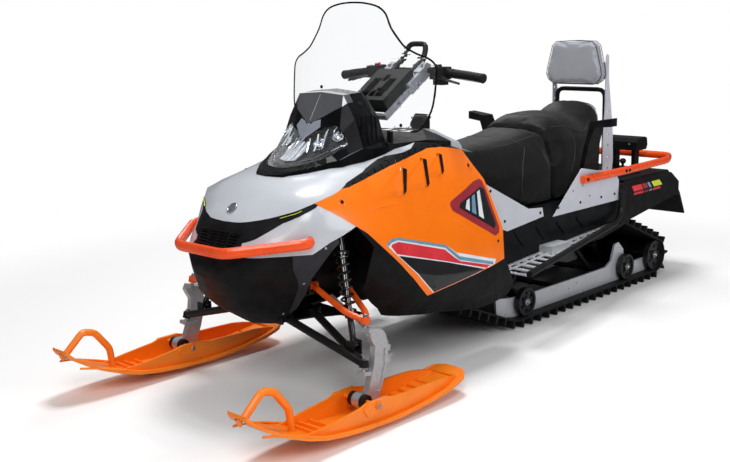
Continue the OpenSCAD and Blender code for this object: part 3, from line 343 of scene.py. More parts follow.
def sweep(bm, path, radius, sides=8, flat=1.0, side=None):
    # rings of points carried along the path without twisting
    tangent = (path[1] - path[0]).normalized()
    u = side or (Vector((0, 0, 1)) if abs(tangent.z) < 0.9 else Vector((1, 0, 0)))
    rings = []
    for i, p in enumerate(path):
        ahead = path[min(i + 1, len(path) - 1)] - path[max(i - 1, 0)]
        tangent = ahead.normalized()
        u = (u - tangent * u.dot(tangent)).normalized()
        w = tangent.cross(u)
        r = radius[i] if isinstance(radius, (list, tuple)) else radius
        rings.append([bm.verts.new(p + r * (u * math.cos(a) * flat + w * math.sin(a)))
                      for a in (2 * math.pi * k / sides for k in range(sides))])
    for a, b in zip(rings, rings[1:]):
        for k in range(sides):
            bm.faces.new((a[k], a[(k + 1) % sides], b[(k + 1) % sides], b[k]))
    bm.faces.new(rings[0][::-1])
    bm.faces.new(rings[-1])


def addTube(name, path, radius, finish, body="chassis", sides=10, flat=1.0):
    bm = bmesh.new()
    for one in (path if isinstance(path[0], (list, tuple)) else [path]):
        sweep(bm, one, radius, sides, flat)
    return fromBmesh(bm, name, finish, body, 40)


def turnTo(normal):
    return normal.to_track_quat("Z", "Y").to_matrix().to_4x4()


def lathe(bm, place, normal, profile, sides=20, phase=0.0):
    # profile rows are radius and height in mm above the place, along the normal
    turn = Matrix.Translation(place) @ turnTo(normal)
    rings = []
    for r, h in profile:
        if r < 1e-6:
            rings.append([bm.verts.new(turn @ Vector((0, 0, h / 1000)))])
        else:
            rings.append([bm.verts.new(turn @ Vector((r / 1000 * math.cos(a), r / 1000 * math.sin(a), h / 1000)))
                          for a in (phase + 2 * math.pi * k / sides for k in range(sides))])
    for a, b in zip(rings, rings[1:]):
        if len(a) == 1 and len(b) == 1:
            continue
        for k in range(sides):
            n = (k + 1) % sides
            if len(a) == 1:
                bm.faces.new((a[0], b[n], b[k]))
            elif len(b) == 1:
                bm.faces.new((a[k], a[n], b[0]))
            else:
                bm.faces.new((a[k], a[n], b[n], b[k]))


def addTurned(name, place, normal, profile, finish, body="chassis", angle=35, sides=24):
    bm = bmesh.new()
    lathe(bm, place, normal, profile, sides)
    return fromBmesh(bm, name, finish, body, angle)


def hexBolt(bm, place, normal, size):
    lathe(bm, place, normal, [(0, 0), (size * 1.1, 0), (size * 1.1, size * 0.16), (size * 0.9, size * 0.2),
                              (0, size * 0.2)], 18)
    lathe(bm, place, normal, [(0, size * 0.2), (size * 0.86, size * 0.2), (size * 0.86, size * 0.72),
                              (size * 0.74, size * 0.82), (size * 0.4, size * 0.84), (0, size * 0.84)], 6)


def domeScrew(bm, place, normal, size):
    lathe(bm, place, normal, [(0, 0), (size, 0), (size * 0.97, size * 0.22), (size * 0.75, size * 0.46),
                              (size * 0.36, size * 0.56), (size * 0.3, size * 0.36), (0, size * 0.36)], 14)


def addBolts(name, items, finish="zincPlate", body="chassis", head=hexBolt):
    bm = bmesh.new()
    for place, normal, size in items:
        head(bm, place, normal, size)
    return fromBmesh(bm, name, finish, body, 30)


def surfaceOf(*names):
    verts, faces = [], []
    for name in names:
        mesh = nodes[name].data if name in nodes else bpy.data.objects[name].data
        start = len(verts)
        verts += [v.co.copy() for v in mesh.vertices]
        faces += [[start + i for i in p.vertices] for p in mesh.polygons]
    return BVHTree.FromPolygons(verts, faces)


def castOn(surface, start, toward, fallback, lift):
    # the point lies a lift in mm off the surface, and the normal faces back along the ray
    hit = surface.ray_cast(start, toward)
    if hit[0] is None:
        near = surface.find_nearest(fallback)
        return near[0], near[1]
    normal = -hit[1] if hit[1].dot(toward) >= 0 else hit[1]
    return hit[0] - toward * (lift / 1000), normal


def onSide(surface, side, y, z, lift=0.0):
    start = mm(side * 900, y, z)
    return castOn(surface, start, Vector((-side, 0, 0)), start.lerp(mm(0, y, z), 0.6), lift)


def onFront(surface, x, z, lift=0.0):
    return castOn(surface, mm(x, -1700, z), Vector((0, 1, 0)), mm(x, -1000, z), lift)


def onTop(surface, x, y, lift=0.0):
    return castOn(surface, mm(x, y, 1600), Vector((0, 0, -1)), mm(x, y, 800), lift)


def addPatch(name, surface, outline, finish, slot, lift=0.7, side=0, relief=None, edge=14, body="chassis", view=None):
    # thin film or raised field laid on a panel: its outline is filled, cut small and dropped onto the surface
    bm = bmesh.new()
    face = bm.faces.new([bm.verts.new((a, b, 0)) for a, b in outline])
    bmesh.ops.triangulate(bm, faces=[face])
    for _ in range(5):
        longEdges = [e for e in bm.edges if e.calc_length() > edge]
        if not longEdges:
            break
        bmesh.ops.subdivide_edges(bm, edges=longEdges, cuts=1, use_grid_fill=False)
        bmesh.ops.triangulate(bm, faces=bm.faces)
    for v in bm.verts:
        a, b = v.co.x, v.co.y
        up = lift + (relief(a, b) if relief else 0.0)
        if view == "front":
            v.co = onFront(surface, a, b, up)[0]
        elif view == "top":
            v.co = onTop(surface, a, b, up)[0]
        else:
            v.co = onSide(surface, side, a, b, up)[0]
    return fromBmesh(bm, name, finish, body, 50)


def bothSides(name, surface, outline, finish, slot, **rest):
    for side, tag in sidesNamed:
        addPatch(name + tag, surface, outline, finish, slot, side=side, **rest)


def addBlocks(name, items, finish, body="chassis", bevel=0.0015):
    # bevelled bars given by their corner points, eight each
    bm = bmesh.new()
    for corners in items:
        v = [bm.verts.new(c) for c in corners]
        for f in ((0, 1, 2, 3), (7, 6, 5, 4), (0, 4, 5, 1), (1, 5, 6, 2), (2, 6, 7, 3), (3, 7, 4, 0)):
            bm.faces.new([v[i] for i in f])
    bmesh.ops.recalc_face_normals(bm, faces=bm.faces)
    if bevel:
        bmesh.ops.bevel(bm, geom=list(bm.edges), offset=bevel, segments=2, affect="EDGES", clamp_overlap=True)
    return fromBmesh(bm, name, finish, body, 30)


def mirrored(points):
    return [Vector((-p.x, p.y, p.z)) for p in points]


# Clean shading on the rigid parts that stay as they are
for node in nodes.values():
    node.data.polygons.foreach_set("use_smooth", [True] * len(node.data.polygons))
    node.data.set_sharp_from_angle(angle=math.radians(32))

# Body: y, top z, crease x and z, widest x and z, lower corner x and z, bottom z of its rings
bodyRings = [
    (-1305, 545, 50, 538, 95, 518, 70, 482, 472), (-1262, 602, 105, 590, 165, 540, 115, 425, 400),
    (-1230, 664, 124, 644, 196, 565, 140, 385, 350), (-1150, 738, 190, 695, 260, 592, 152, 345, 293),
    (-1070, 784, 285, 732, 318, 602, 155, 320, 262), (-905, 826, 282, 776, 376, 580, 175, 300, 250),
    (-700, 858, 276, 828, 405, 440, 330, 268, 240), (-480, 884, 268, 876, 416, 395, 352, 240, 225),
    (-240, 846, 256, 832, 416, 385, 356, 206, 195), (-60, 790, 238, 776, 402, 392, 352, 222, 212),
    (20, 760, 228, 746, 392, 400, 345, 236, 226),
]


def ringPoints(row):
    y, top, creaseX, creaseZ, wideX, wideZ, lowX, lowZ, bottom = row

    def mix(a, b, t):
        return a + (b - a) * t
    half = [(0, top), (creaseX * 0.6, mix(top, creaseZ, 0.3)), (creaseX, creaseZ),
            (mix(creaseX, wideX, 0.4) + 6, mix(creaseZ, wideZ, 0.34)),
            (mix(creaseX, wideX, 0.8) + 5, mix(creaseZ, wideZ, 0.72)), (wideX, wideZ),
            (mix(wideX, lowX, 0.35), mix(wideZ, lowZ, 0.5)), (lowX, lowZ), (lowX * 0.5, mix(lowZ, bottom, 0.75)),
            (0, bottom)]
    return [mm(x, y, z) for x, z in half] + [mm(-x, y, z) for x, z in half[-2:0:-1]]


def shadePanels(names):
    # the panels' facets are shaded by the normals of the whole body's skin, so light runs on across their joints
    rings = [ringPoints(row) for row in bodyRings]
    count = len(rings[0])
    lines = [curved([ring[j] for ring in rings], 2) for j in range(count)]
    rows = len(lines[0])
    bm = bmesh.new()
    verts = [[bm.verts.new(lines[j][i]) for j in range(count)] for i in range(rows)]
    for i in range(rows - 1):
        for j in range(count):
            n = (j + 1) % count
            bm.faces.new((verts[i][j], verts[i][n], verts[i + 1][n], verts[i + 1][j]))
    bmesh.ops.recalc_face_normals(bm, faces=bm.faces)
    bmesh.ops.triangulate(bm, faces=bm.faces)
    bm.verts.ensure_lookup_table()
    bm.faces.ensure_lookup_table()
    bm.normal_update()
    skin = BVHTree.FromBMesh(bm)
    for name in names:
        mesh = nodes[name].data
        normals = []
        for poly in mesh.polygons:
            for index in poly.vertices:
                spot, _, face, gap = skin.find_nearest(mesh.vertices[index].co)
                corners = bm.faces[face].verts
                shares = barycentric(spot, *(v.co for v in corners))
                smooth = sum((v.normal * t for v, t in zip(corners, shares)), Vector((0, 0, 0))).normalized()
                follows = gap < 0.0015 and poly.normal.dot(smooth) > 0.72
                normals.append(smooth if follows else poly.normal.copy())
        mesh.normals_split_custom_set(normals)
    bm.free()


def barycentric(p, a, b, c):
    normal = (b - a).cross(c - a)
    area = max(normal.length_squared, 1e-18)
    u = (b - p).cross(c - p).dot(normal) / area
    v = (c - p).cross(a - p).dot(normal) / area
    return u, v, 1 - u - v


shadePanels(("hood", "side_panels", "side_skirts", "vent_strips", "grille", "belly_pan", "shock_covers"))

sideSkin = surfaceOf("side_panels", "vent_strips", "hood", "side_skirts")
panelSkin = surfaceOf("side_panels")
hoodSkin = surfaceOf("hood", "grille", "belly_pan", "shock_covers")
cowlSkin = surfaceOf("cowl", "headlamps", "visor")


# Cloth: seats and backrest swell a little from slightly smaller shapes
cushions = {
    "seatFrontCushion": {"node": "seat_front", "finish": "seatVinyl", "slot": "seat_cover", "voxel": 0.011,
                         "shrink": 0.006, "cap": 0.009, "fill": 0.85},
    "seatRearCushion": {"node": "seat_rear", "finish": "seatVinyl", "slot": "seat_cover", "voxel": 0.012,
                        "shrink": 0.006, "cap": 0.009, "fill": 0.85},
    "backrestCushion": {"node": "backrest_pad", "finish": "greyVinyl", "slot": "pad_cover", "voxel": 0.006,
                        "shrink": 0.004, "cap": 0.008, "fill": 0.9},
}


clothFrames = 20


def applied(obj):
    # the evaluated mesh takes the place of the base mesh and its modifiers
    graph = bpy.context.evaluated_depsgraph_get()
    mesh = bpy.data.meshes.new_from_object(obj.evaluated_get(graph))
    obj.modifiers.clear()
    obj.data = mesh


def makeCushion(name, spec):
    source = nodes[spec["node"]]
    obj = bpy.data.objects.new(name, source.data.copy())
    bpy.context.scene.collection.objects.link(obj)
    bm = bmesh.new()
    bm.from_mesh(obj.data)
    bmesh.ops.remove_doubles(bm, verts=bm.verts, dist=0.0002)
    bm.to_mesh(obj.data)
    bm.free()
    remesh = obj.modifiers.new("remesh", "REMESH")
    remesh.mode = "VOXEL"
    remesh.voxel_size = spec["voxel"]
    applied(obj)
    rounded = obj.modifiers.new("round", "SMOOTH")
    rounded.factor = 0.5
    rounded.iterations = 6
    applied(obj)
    obj.data.update()
    normals = [v.normal.copy() for v in obj.data.vertices]
    for v, n in zip(obj.data.vertices, normals):
        v.co -= n * spec["shrink"]
    rest = [v.co.copy() for v in obj.data.vertices]
    cloth = obj.modifiers.new("cloth", "CLOTH")
    cloth.settings.use_pressure = True
    cloth.settings.uniform_pressure_force = 4
    cloth.settings.effector_weights.gravity = 0
    cloth.settings.quality = 4
    cloth.collision_settings.use_collision = False
    cloth.collision_settings.use_self_collision = False
    cloth.point_cache.frame_start = 1
    cloth.point_cache.frame_end = clothFrames
    for step in range(1, clothFrames + 1):
        bpy.context.scene.frame_set(step)
    applied(obj)
    for v, start in zip(obj.data.vertices, rest):
        move = v.co - start
        if move.length > spec["cap"]:
            v.co = start + move * (spec["cap"] / move.length)
    bpy.context.scene.frame_set(1)
    fine = obj.modifiers.new("fine", "SUBSURF")
    fine.levels = 1
    fine.render_levels = 1
    applied(obj)
    obj.data.polygons.foreach_set("use_smooth", [True] * len(obj.data.polygons))
    dress(obj, spec["finish"])
    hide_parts(spec["node"])


for name, spec in cushions.items():
    makeCushion(name, spec)
seatSkin = surfaceOf("seatFrontCushion", "seatRearCushion")
print("cushions done")


def seamAlong(name, skin, points, finish, radius=1.6, lift=0.3):
    # a sewn seam drawn as a fine raised cord on both flanks
    bm = bmesh.new()
    for side in (1, -1):
        line = curved([Vector((0, y, z)) for y, z in points], 6)
        sweep(bm, [onSide(skin, side, p.y, p.z, lift)[0] for p in line], radius / 1000, 6)
    return fromBmesh(bm, name, finish, angle=60)


def seamOver(name, skin, points, finish, radius=1.6, lift=0.3):
    # a seam that crosses the seat's top, given as x and y seen from above
    bm = bmesh.new()
    line = curved([Vector((x, y, 0)) for x, y in points], 6)
    sweep(bm, [onTop(skin, p.x, p.y, lift)[0] for p in line], radius / 1000, 6)
    return fromBmesh(bm, name, finish, angle=60)


seatSeams = {
    "frontPanelSeam": [(60, 800), (190, 790), (300, 800), (420, 815)],
    "frontLowerSeam": [(318, 776), (262, 706), (236, 640), (244, 580), (300, 536)],
    "rearPanelSeam": [(520, 846), (610, 842), (700, 812), (790, 806), (860, 846)],
    "rearLowerSeam": [(600, 842), (646, 790), (640, 720), (600, 640)],
}
for name, points in seatSeams.items():
    seamAlong(name, seatSkin, points, "nylonThread")
seamOver("frontTopSeam", seatSkin, [(-150, 300), (-80, 262), (0, 250), (80, 262), (150, 300)], "nylonThread")
seamOver("rearTopSeam", seatSkin, [(-150, 600), (-80, 560), (0, 548), (80, 560), (150, 600)], "nylonThread")
bothSides("bolsterBand", seatSkin, [(930, 925), (968, 905), (1000, 820), (992, 700), (958, 640), (948, 720),
                                    (952, 830)], "greyVinyl", "pad_cover", lift=0.8)
# welt round the backrest's front and back edges
welt = [(0, 1007), (112, 1007), (143, 1028), (154, 1052), (150, 1080), (122, 1190), (100, 1209), (0, 1213)]
loop = [Vector((x / 1000, 0, z / 1000)) for x, z in welt]
loop = loop + [Vector((-p.x, 0, p.z)) for p in loop[-2:0:-1]] + [loop[0]]
bm = bmesh.new()
for y in (-0.0655 + 1.0, -0.0245 + 1.0):
    sweep(bm, [Vector((p.x, y, p.z)) for p in loop], 0.0019, 6)
fromBmesh(bm, "backrestWelt", "nylonThread", angle=60)


# Panels: stripes without words, flares of the louvres, screws
sideStripes = {
    "stripeFrame": ([(-821, 561), (-798, 574), (-761, 577), (-508, 509), (-456, 473), (-219, 407), (-232, 387),
                     (-270, 379), (-580, 339), (-785, 524)], "whiteFilm", 0.5),
    "stripeSlate": ([(-821, 561), (-798, 574), (-761, 577), (-508, 509), (-474, 482), (-440, 456), (-238, 400),
                     (-246, 390), (-446, 444), (-478, 471), (-514, 500), (-759, 567), (-795, 564), (-811, 554)],
                    "slateFilm", 1.0),
    "stripeRed": ([(-800, 551), (-791, 558), (-757, 561), (-520, 495), (-472, 458), (-440, 438), (-262, 392),
                   (-290, 386), (-520, 452), (-776, 521)], "redFilm", 1.0),
    "stripeBlack": ([(-770, 514), (-520, 448), (-300, 383), (-328, 379), (-580, 344)], "blackFilm", 1.0),
    "tailFrame": ([(-430, 640), (-426, 652), (-411, 659), (-239, 706), (-186, 710), (-170, 702), (-160, 634),
                   (-152, 520), (-164, 500), (-196, 493), (-423, 622)], "darkRedFilm", 0.5),
    "tailField": ([(-378, 626), (-366, 641), (-202, 682), (-182, 672), (-170, 534), (-188, 520)], "blackFilm", 1.0),
    "tailBarA": ([(-214, 672), (-238, 666), (-268, 580), (-242, 565)], "whiteFilm", 1.5),
    "tailBarB": ([(-256, 662), (-280, 656), (-306, 600), (-282, 587)], "slateFilm", 1.5),
    "tailBarC": ([(-298, 651), (-322, 645), (-342, 619), (-318, 606)], "whiteFilm", 1.5),
}
for name, (outline, finish, lift) in sideStripes.items():
    bothSides(name, panelSkin, outline, finish, "orange_panel", lift=lift, edge=7)

flares = [[(-640, 803), (-677, 712), (-800, 712), (-812, 718)],
          [(-522, 825), (-547, 722), (-668, 722), (-680, 730)],
          [(-418, 832), (-438, 756), (-530, 752), (-536, 760)]]


def flareHeight(corners, rise):
    # highest along the slot, falling to nothing at the far corner
    top, low, far = corners[0], corners[1], corners[3]

    def height(y, z):
        along = (z - low[1]) / max(top[1] - low[1], 1)
        slot = low[0] + (top[0] - low[0]) * along
        reach = max(slot - far[0], 1)
        share = max(0.0, min(1.0, 1 - (slot - y) / reach))
        edge = min(1.0, max(0.0, min(along, 1.15 - along) * 5))
        return rise * share ** 1.6 * edge
    return height


for i, corners in enumerate(flares):
    bothSides(f"louvreFlare{i}", panelSkin, corners, "orangeAbs", "orange_panel", lift=0.4,
              relief=flareHeight(corners, 11.0), edge=7)

# black strips laid behind the louvres' open edges: painted shade standing in for the dark inside of the slots
slotLines = [((-631, 803), (-669, 711)), ((-513, 825), (-538, 722)), ((-409, 832), (-430, 756))]
for i, ((topY, topZ), (lowY, lowZ)) in enumerate(slotLines):
    outline = [(topY, topZ), (topY + 19, topZ - 7), (lowY + 22, lowZ + 12), (lowY + 3, lowZ)]
    # each strip is painted shade of its slot's opening, not a part of the panel
    bothSides(f"louvreLip{i}", panelSkin, outline, "blackPolypropylene", "black_plastic", lift=2.6, edge=4)

# raised fold and crease that run along the orange panel
folds = {
    "panelFold": ([(-884, 684), (-800, 686), (-726, 688), (-640, 696)], 0.0018),
    "panelCrease": ([(-632, 697), (-523, 653), (-408, 581), (-278, 497), (-172, 432)], 0.0010),
}
for name, (line, height) in folds.items():
    for side, tag in sidesNamed:
        bm = bmesh.new()
        pts = [onSide(panelSkin, side, p.x, p.y, -1.4)[0] for p in curved([Vector((y, z, 0)) for y, z in line], 6)]
        last = len(pts) - 1
        sweep(bm, pts, [0.0012 + height * math.sin(math.pi * i / last) for i in range(last + 1)], 10)
        fromBmesh(bm, name + tag, "orangeAbs", angle=60)

screwSpots = ((-962, 724, 7), (-232, 766, 7), (-180, 470, 6), (-585, 368, 5))
bm = bmesh.new()
screws = []
for side in (1, -1):
    for y, z, size in screwSpots:
        spot, normal = onSide(panelSkin, side, y, z, 0.2)
        screws.append((spot, normal, size))
        if z > 700:
            # raised rim round a screw
            lathe(bm, spot, normal, [(19, -1), (16, 1.8), (13.5, 2.2), (11, 0.6), (9, 0.2), (0, 0.2)], 28)
fromBmesh(bm, "screwRims", "orangeAbs", angle=40)
addBolts("panelScrews", screws, "blackOxide", head=domeScrew)
coverScrews = [(*onSide(hoodSkin, side, y, z, 0.2), 5.5) for side in (1, -1)
               for y, z in ((-1052, 578), (-1092, 452), (-1112, 336))]
addBolts("coverScrews", coverScrews, "zincPlate", head=domeScrew)

# studs of the vent strip
studs = []
for side in (1, -1):
    for y in (-880, -690, -500, -410):
        z = 766 + (y + 905) * 0.2246 if y < -700 else 812 + (y + 700) * 0.1956 if y < -470 else 857 - (y + 470) * 0.051
        studs.append((*onSide(sideSkin, side, y, z + 8, 0.2), 5))
addBolts("stripStuds", studs, "blackOxide", head=domeScrew)

# yellow reflector strip on the nose band, round badge left blank
for side, tag in sidesNamed:
    path = [onSide(hoodSkin, side, y, z, 0.6)[0] for y, z in ((-1150, 684), (-1136, 691), (-1118, 700), (-1104, 708))]
    addTube("noseReflector" + tag, path, 0.0034, "yellowFilm", flat=0.4)
spot, normal = onTop(hoodSkin, 0, -1190, 0.2)
addTurned("noseBadge", spot, normal, [(0, 0), (22, 0), (22, 1.6), (20.5, 2.6), (18.5, 2.2), (17.5, 1.2), (15, 1.4),
                                      (0, 2.6)], "zincPlate", sides=36)


# Grille: dark sheet behind it and its slats
addPatch("grilleBack", hoodSkin, [(-108, 564), (108, 564), (112, 630), (-112, 630)], "blackPolypropylene",
         "black_plastic", lift=-16, view="front", edge=16)


def grilleBars():
    items = []
    for k in range(7):
        z = 574 + k * 9.5
        for x0, x1 in ((-44, 44), (-104, -50), (50, 104)):
            lo = onFront(hoodSkin, (x0 + x1) / 2, z)[0].y * 1000 + 30
            items.append([mm(x, lo + d, z + h) for h in (0, 2.4)
                          for x, d in ((x0, -2.2), (x1, -2.2), (x1, 8), (x0, 8))])
    return items


addBlocks("grilleSlats", grilleBars(), "blackPolypropylene", bevel=0.0004)


# Cowl: bowls, fins and strip of the lamps behind a clear lens, film plate, slots, duct ribs
def frontLine(points, lift, steps=6, side=1):
    return [onFront(cowlSkin, p.x, p.y, lift)[0]
            for p in curved([Vector((side * x, z, 0)) for x, z in points], steps)]


lampFins = [
    ([(34, 912), (42, 893), (58, 868)], 0.0030), ([(64, 929), (72, 905), (84, 872)], 0.0034),
    ([(95, 946), (96, 921), (103, 878)], 0.0052), ([(128, 962), (117, 944), (119, 922)], 0.0034),
    ([(146, 958), (151, 930), (149, 904)], 0.0034), ([(170, 944), (178, 920), (177, 904), (164, 890)], 0.0030),
]
lampStrip = [(0, 829), (34, 831), (66, 838), (105, 850), (128, 868), (155, 885), (174, 902)]
lampEdge = [(0, 823), (50, 825), (97, 834), (140, 853), (170, 887), (177, 919), (169, 951), (149, 966), (116, 959),
            (66, 941), (0, 913)]


def lampPieces():
    outer = bmesh.new()
    outer.from_mesh(nodes["headlamps"].data)
    bmesh.ops.remove_doubles(outer, verts=outer.verts, dist=0.0002)
    back = [f for f in outer.faces if f.normal.y > -0.12]
    bmesh.ops.delete(outer, geom=back, context="FACES")
    bmesh.ops.recalc_face_normals(outer, faces=outer.faces)
    outer.normal_update()
    bmesh.ops.solidify(outer, geom=outer.faces[:], thickness=0.0018)
    lens = fromBmesh(outer, "headlampLens", "clearLens", angle=40)
    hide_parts("headlamps")
    whole = lampEdge + [(-x, z) for x, z in lampEdge[-2:0:-1]]
    addPatch("headlampShell", cowlSkin, whole, "lampShade", "lamp_lens", lift=-22, view="front", edge=16)
    centre = [(-48, 878), (-43, 842), (0, 838), (43, 842), (48, 878), (30, 902), (0, 900), (-30, 902)]
    addPatch("headlampReflector", cowlSkin, centre, "lampChrome", "lamp_lens", lift=-9, view="front", edge=5,
             relief=lambda x, z: 1.2 * math.sin(x / 3.2) + 5 * math.exp(-((z - 870) / 22) ** 2))
    bowls = bmesh.new()
    fins = bmesh.new()
    strip = bmesh.new()
    for side in (1, -1):
        for x, z, r in ((82, 895, 23), (136, 922, 20)):
            spot, normal = onFront(cowlSkin, side * x, z, -7)
            lathe(bowls, spot, normal, [(r, 1), (r - 1.5, 2), (r - 3, 0), (r - 6, -8), (r * 0.42, -12), (r * 0.4, -6),
                                        (r * 0.2, -3), (0, -2.4)], 26)
        for line, radius in lampFins:
            sweep(fins, frontLine(line, -5, 5, side), radius, 6, 0.5)
        beads = frontLine(lampStrip, -4, 7, side)
        sweep(strip, beads, [0.0028 + 0.0011 * (i % 2) for i in range(len(beads))], 6)
    fromBmesh(bowls, "headlampBowls", "lampChrome", angle=50)
    fromBmesh(fins, "headlampFins", "lampChrome", angle=40)
    fromBmesh(strip, "headlampStrip", "lampChrome", angle=25)


lampPieces()
addTube("visorRidge", frontLine([(0, 972), (0, 1000), (0, 1035), (0, 1066)], -1.2), 0.0034, "smokedPolycarbonate",
        sides=12)
plateHalf = [(0, 906), (28, 926), (63, 954), (50, 980), (0, 964)]
addPatch("cowlPlate", cowlSkin, plateHalf + [(-x, z) for x, z in plateHalf[-2:0:-1]], "reflectorFilm", "gloss_black",
         lift=1.0, view="front", edge=8)


def cowlSlots():
    bm = bmesh.new()
    for side in (1, -1):
        for k in range(9):
            x = 20 + k * 15
            z = 812 + k * k * 0.26
            a = onFront(cowlSkin, side * x, z - 5, 0.3)[0]
            b = onFront(cowlSkin, side * (x + 7), z + 4, 0.3)[0]
            sweep(bm, [a, b], 0.0022, 6)
    return fromBmesh(bm, "cowlSlots", "blackPolypropylene", angle=50)


cowlSlots()


ductLines = [
    [(-729, 991), (-732, 974), (-739, 952)], [(-711, 990), (-722, 962), (-737, 933), (-736, 908), (-735, 886)],
    [(-690, 992), (-697, 965), (-705, 940), (-710, 914), (-713, 888)],
    [(-668, 990), (-676, 960), (-684, 930), (-690, 900)], [(-648, 982), (-656, 950), (-664, 920), (-668, 894)],
]


def ductRibs():
    bm = bmesh.new()
    for side in (1, -1):
        for line in ductLines:
            pts = curved([onSide(cowlSkin, side, y, z, 0.6)[0] for y, z in line], 4)
            sweep(bm, pts, 0.0030, 6, 1.3)
    return fromBmesh(bm, "ductRibs", "blackAbs", angle=50)


ductRibs()
addBolts("cowlScrews", [(*onSide(cowlSkin, side, -690, 1030, 0.3), 10) for side in (1, -1)], "blackOxide",
         head=domeScrew)
print("panels done")


# Windshield: dark bead along its edge
screenRows = [(928, 290), (938, 327), (1000, 361), (1060, 371), (1130, 373), (1165, 369), (1190, 342), (1206, 300),
              (1225, 262), (1243, 238), (1300, 190), (1350, 165), (1380, 130), (1393, 80), (1398, 30)]


def screenPoint(x, z):
    y = -612 + 70 * (x / 370) ** 2 + (z - 1000) * 0.1
    return mm(x, y + 2, z)


rim = [screenPoint(w - 3, z - (3 if z > 1370 else 0)) for z, w in screenRows]
rimPath = curved(rim + mirrored(rim)[::-1], 3)
addTube("screenBead", rimPath, 0.0036, "blackAbs", sides=8)
addBolts("screenScrews", [(screenPoint(s * x, z) + Vector((0, -0.003, 0)), Vector((0, -1, 0.1)), 7)
                          for s in (1, -1) for x, z in ((250, 950), (150, 1080), (120, 985))],
         "blackOxide", head=domeScrew)


# Bars: rings and ends of the grips, levers, switches
def gripPieces():
    bm = bmesh.new()
    for side in (1, -1):
        a, b = mm(side * 214, -245.5, 1121.4), mm(side * 364, -242, 1104.5)
        for k in range(15):
            p = a.lerp(b, 0.04 + k * 0.066)
            lathe(bm, p, (b - a).normalized(), [(17.2, -2.2), (18.4, -1.4), (18.4, 1.4), (17.2, 2.2)], 20)
    fromBmesh(bm, "gripRings", "gripRubber", "steering", 50)
    bm = bmesh.new()
    for side in (1, -1):
        lathe(bm, mm(side * 365, -242, 1104.2), Vector((side, 0.02, -0.12)).normalized(),
              [(17.5, -3), (19, -1), (19, 1.4), (16, 2.8), (0, 2.8)], 24)
    fromBmesh(bm, "gripEnds", "gripRubber", "steering", 40)


gripPieces()
addTube("brakeLever", curved([mm(186, -284, 1104), mm(212, -300, 1100), mm(252, -308, 1094), mm(292, -304, 1085)], 6),
        [0.0065 - 0.0002 * i for i in range(19)], "blackOxide", "steering", flat=0.6)
addTube("throttleLever", curved([mm(-186, -284, 1104), mm(-206, -302, 1101), mm(-236, -306, 1094),
                                 mm(-262, -300, 1088)], 6), 0.006, "blackOxide", "steering", flat=0.6)
bm = bmesh.new()
for x, z, r in ((-168, 1150, 9), (166, 1150, 7), (148, 1150, 6)):
    lathe(bm, mm(x, -256, z - 4), Vector((0, -0.25, 1)), [(r + 2, 0), (r + 2, 3), (r, 4), (r, 8), (r * 0.8, 10),
                                                          (0, 10.4)], 20)
fromBmesh(bm, "switchButtons", "blackOxide", "steering", 30)
addTurned("stopSwitch", mm(-150, -262, 1146), Vector((0, -0.5, 1)),
          [(0, 0), (8, 0), (8, 6), (11, 8), (11, 12), (9, 14), (0, 14.6)], "redFilm", "steering", 30)
print("bars done")


# Console: filler cap with its ribs, key switch, seams and plug of the tank cover
bm = bmesh.new()
lathe(bm, mm(0, -180, 930), Vector((0, 0, 1)), [(38, 0), (40, 1.5), (40, 10), (37, 12), (31, 12.6), (29, 10.5),
                                              (0, 10.5)], 36)
for k in range(18):
    a = 2 * math.pi * k / 18
    base = mm(40.2 * math.cos(a), -180 + 40.2 * math.sin(a), 931.5)
    sweep(bm, [base, base + Vector((0, 0, 0.0085))], 0.0021, 6)
sweep(bm, [mm(-26, -180, 943), mm(26, -180, 943)], 0.0042, 8)
fromBmesh(bm, "fillerCap", "gripRubber", angle=35)
addTurned("keySwitch", mm(86, -470, 893), Vector((0, -0.1, 1)),
          [(15, 0), (15, 3), (12.5, 5), (9, 5), (8, 3.4), (0, 3.4)], "zincPlate")
coverTop = surfaceOf("tank_cover")
coverSeam = ((-120, -236), (-108, -150), (-96, -70), (-88, 20))
for side, tag in ((1, ""), (-1, "Left")):
    addTube("tankCoverSeam" + tag, curved([onTop(coverTop, side * x, y, 0.2)[0] for x, y in coverSeam], 5), 0.0018,
            "blackPolypropylene")
spot, normal = onTop(coverTop, 112, -40, 0.3)
addTurned("tankCoverPlug", spot, normal, [(0, 0), (15, 0), (15, 1.5), (13, 2.4), (0, 1.2)], "blackPolypropylene",
          angle=40, sides=28)



# Riser: four clamp screws, and bolts through the bars
clampScrews = [(mm(x, y, z), Vector((0, -0.35, 1)).normalized(), 6.5)
               for x, y, z in ((-84, -268, 1150), (84, -268, 1150), (-84, -228, 1150), (84, -228, 1150))]
addBolts("clampScrews", clampScrews, "blackOxide", "steering", domeScrew)
addBolts("riserBolts", [(mm(s * 100, -430 + k * 118, 1016 + k * 66), Vector((s, 0, 0)), 7)
                        for s in (1, -1) for k in (0, 1)], "zincPlate", "steering")


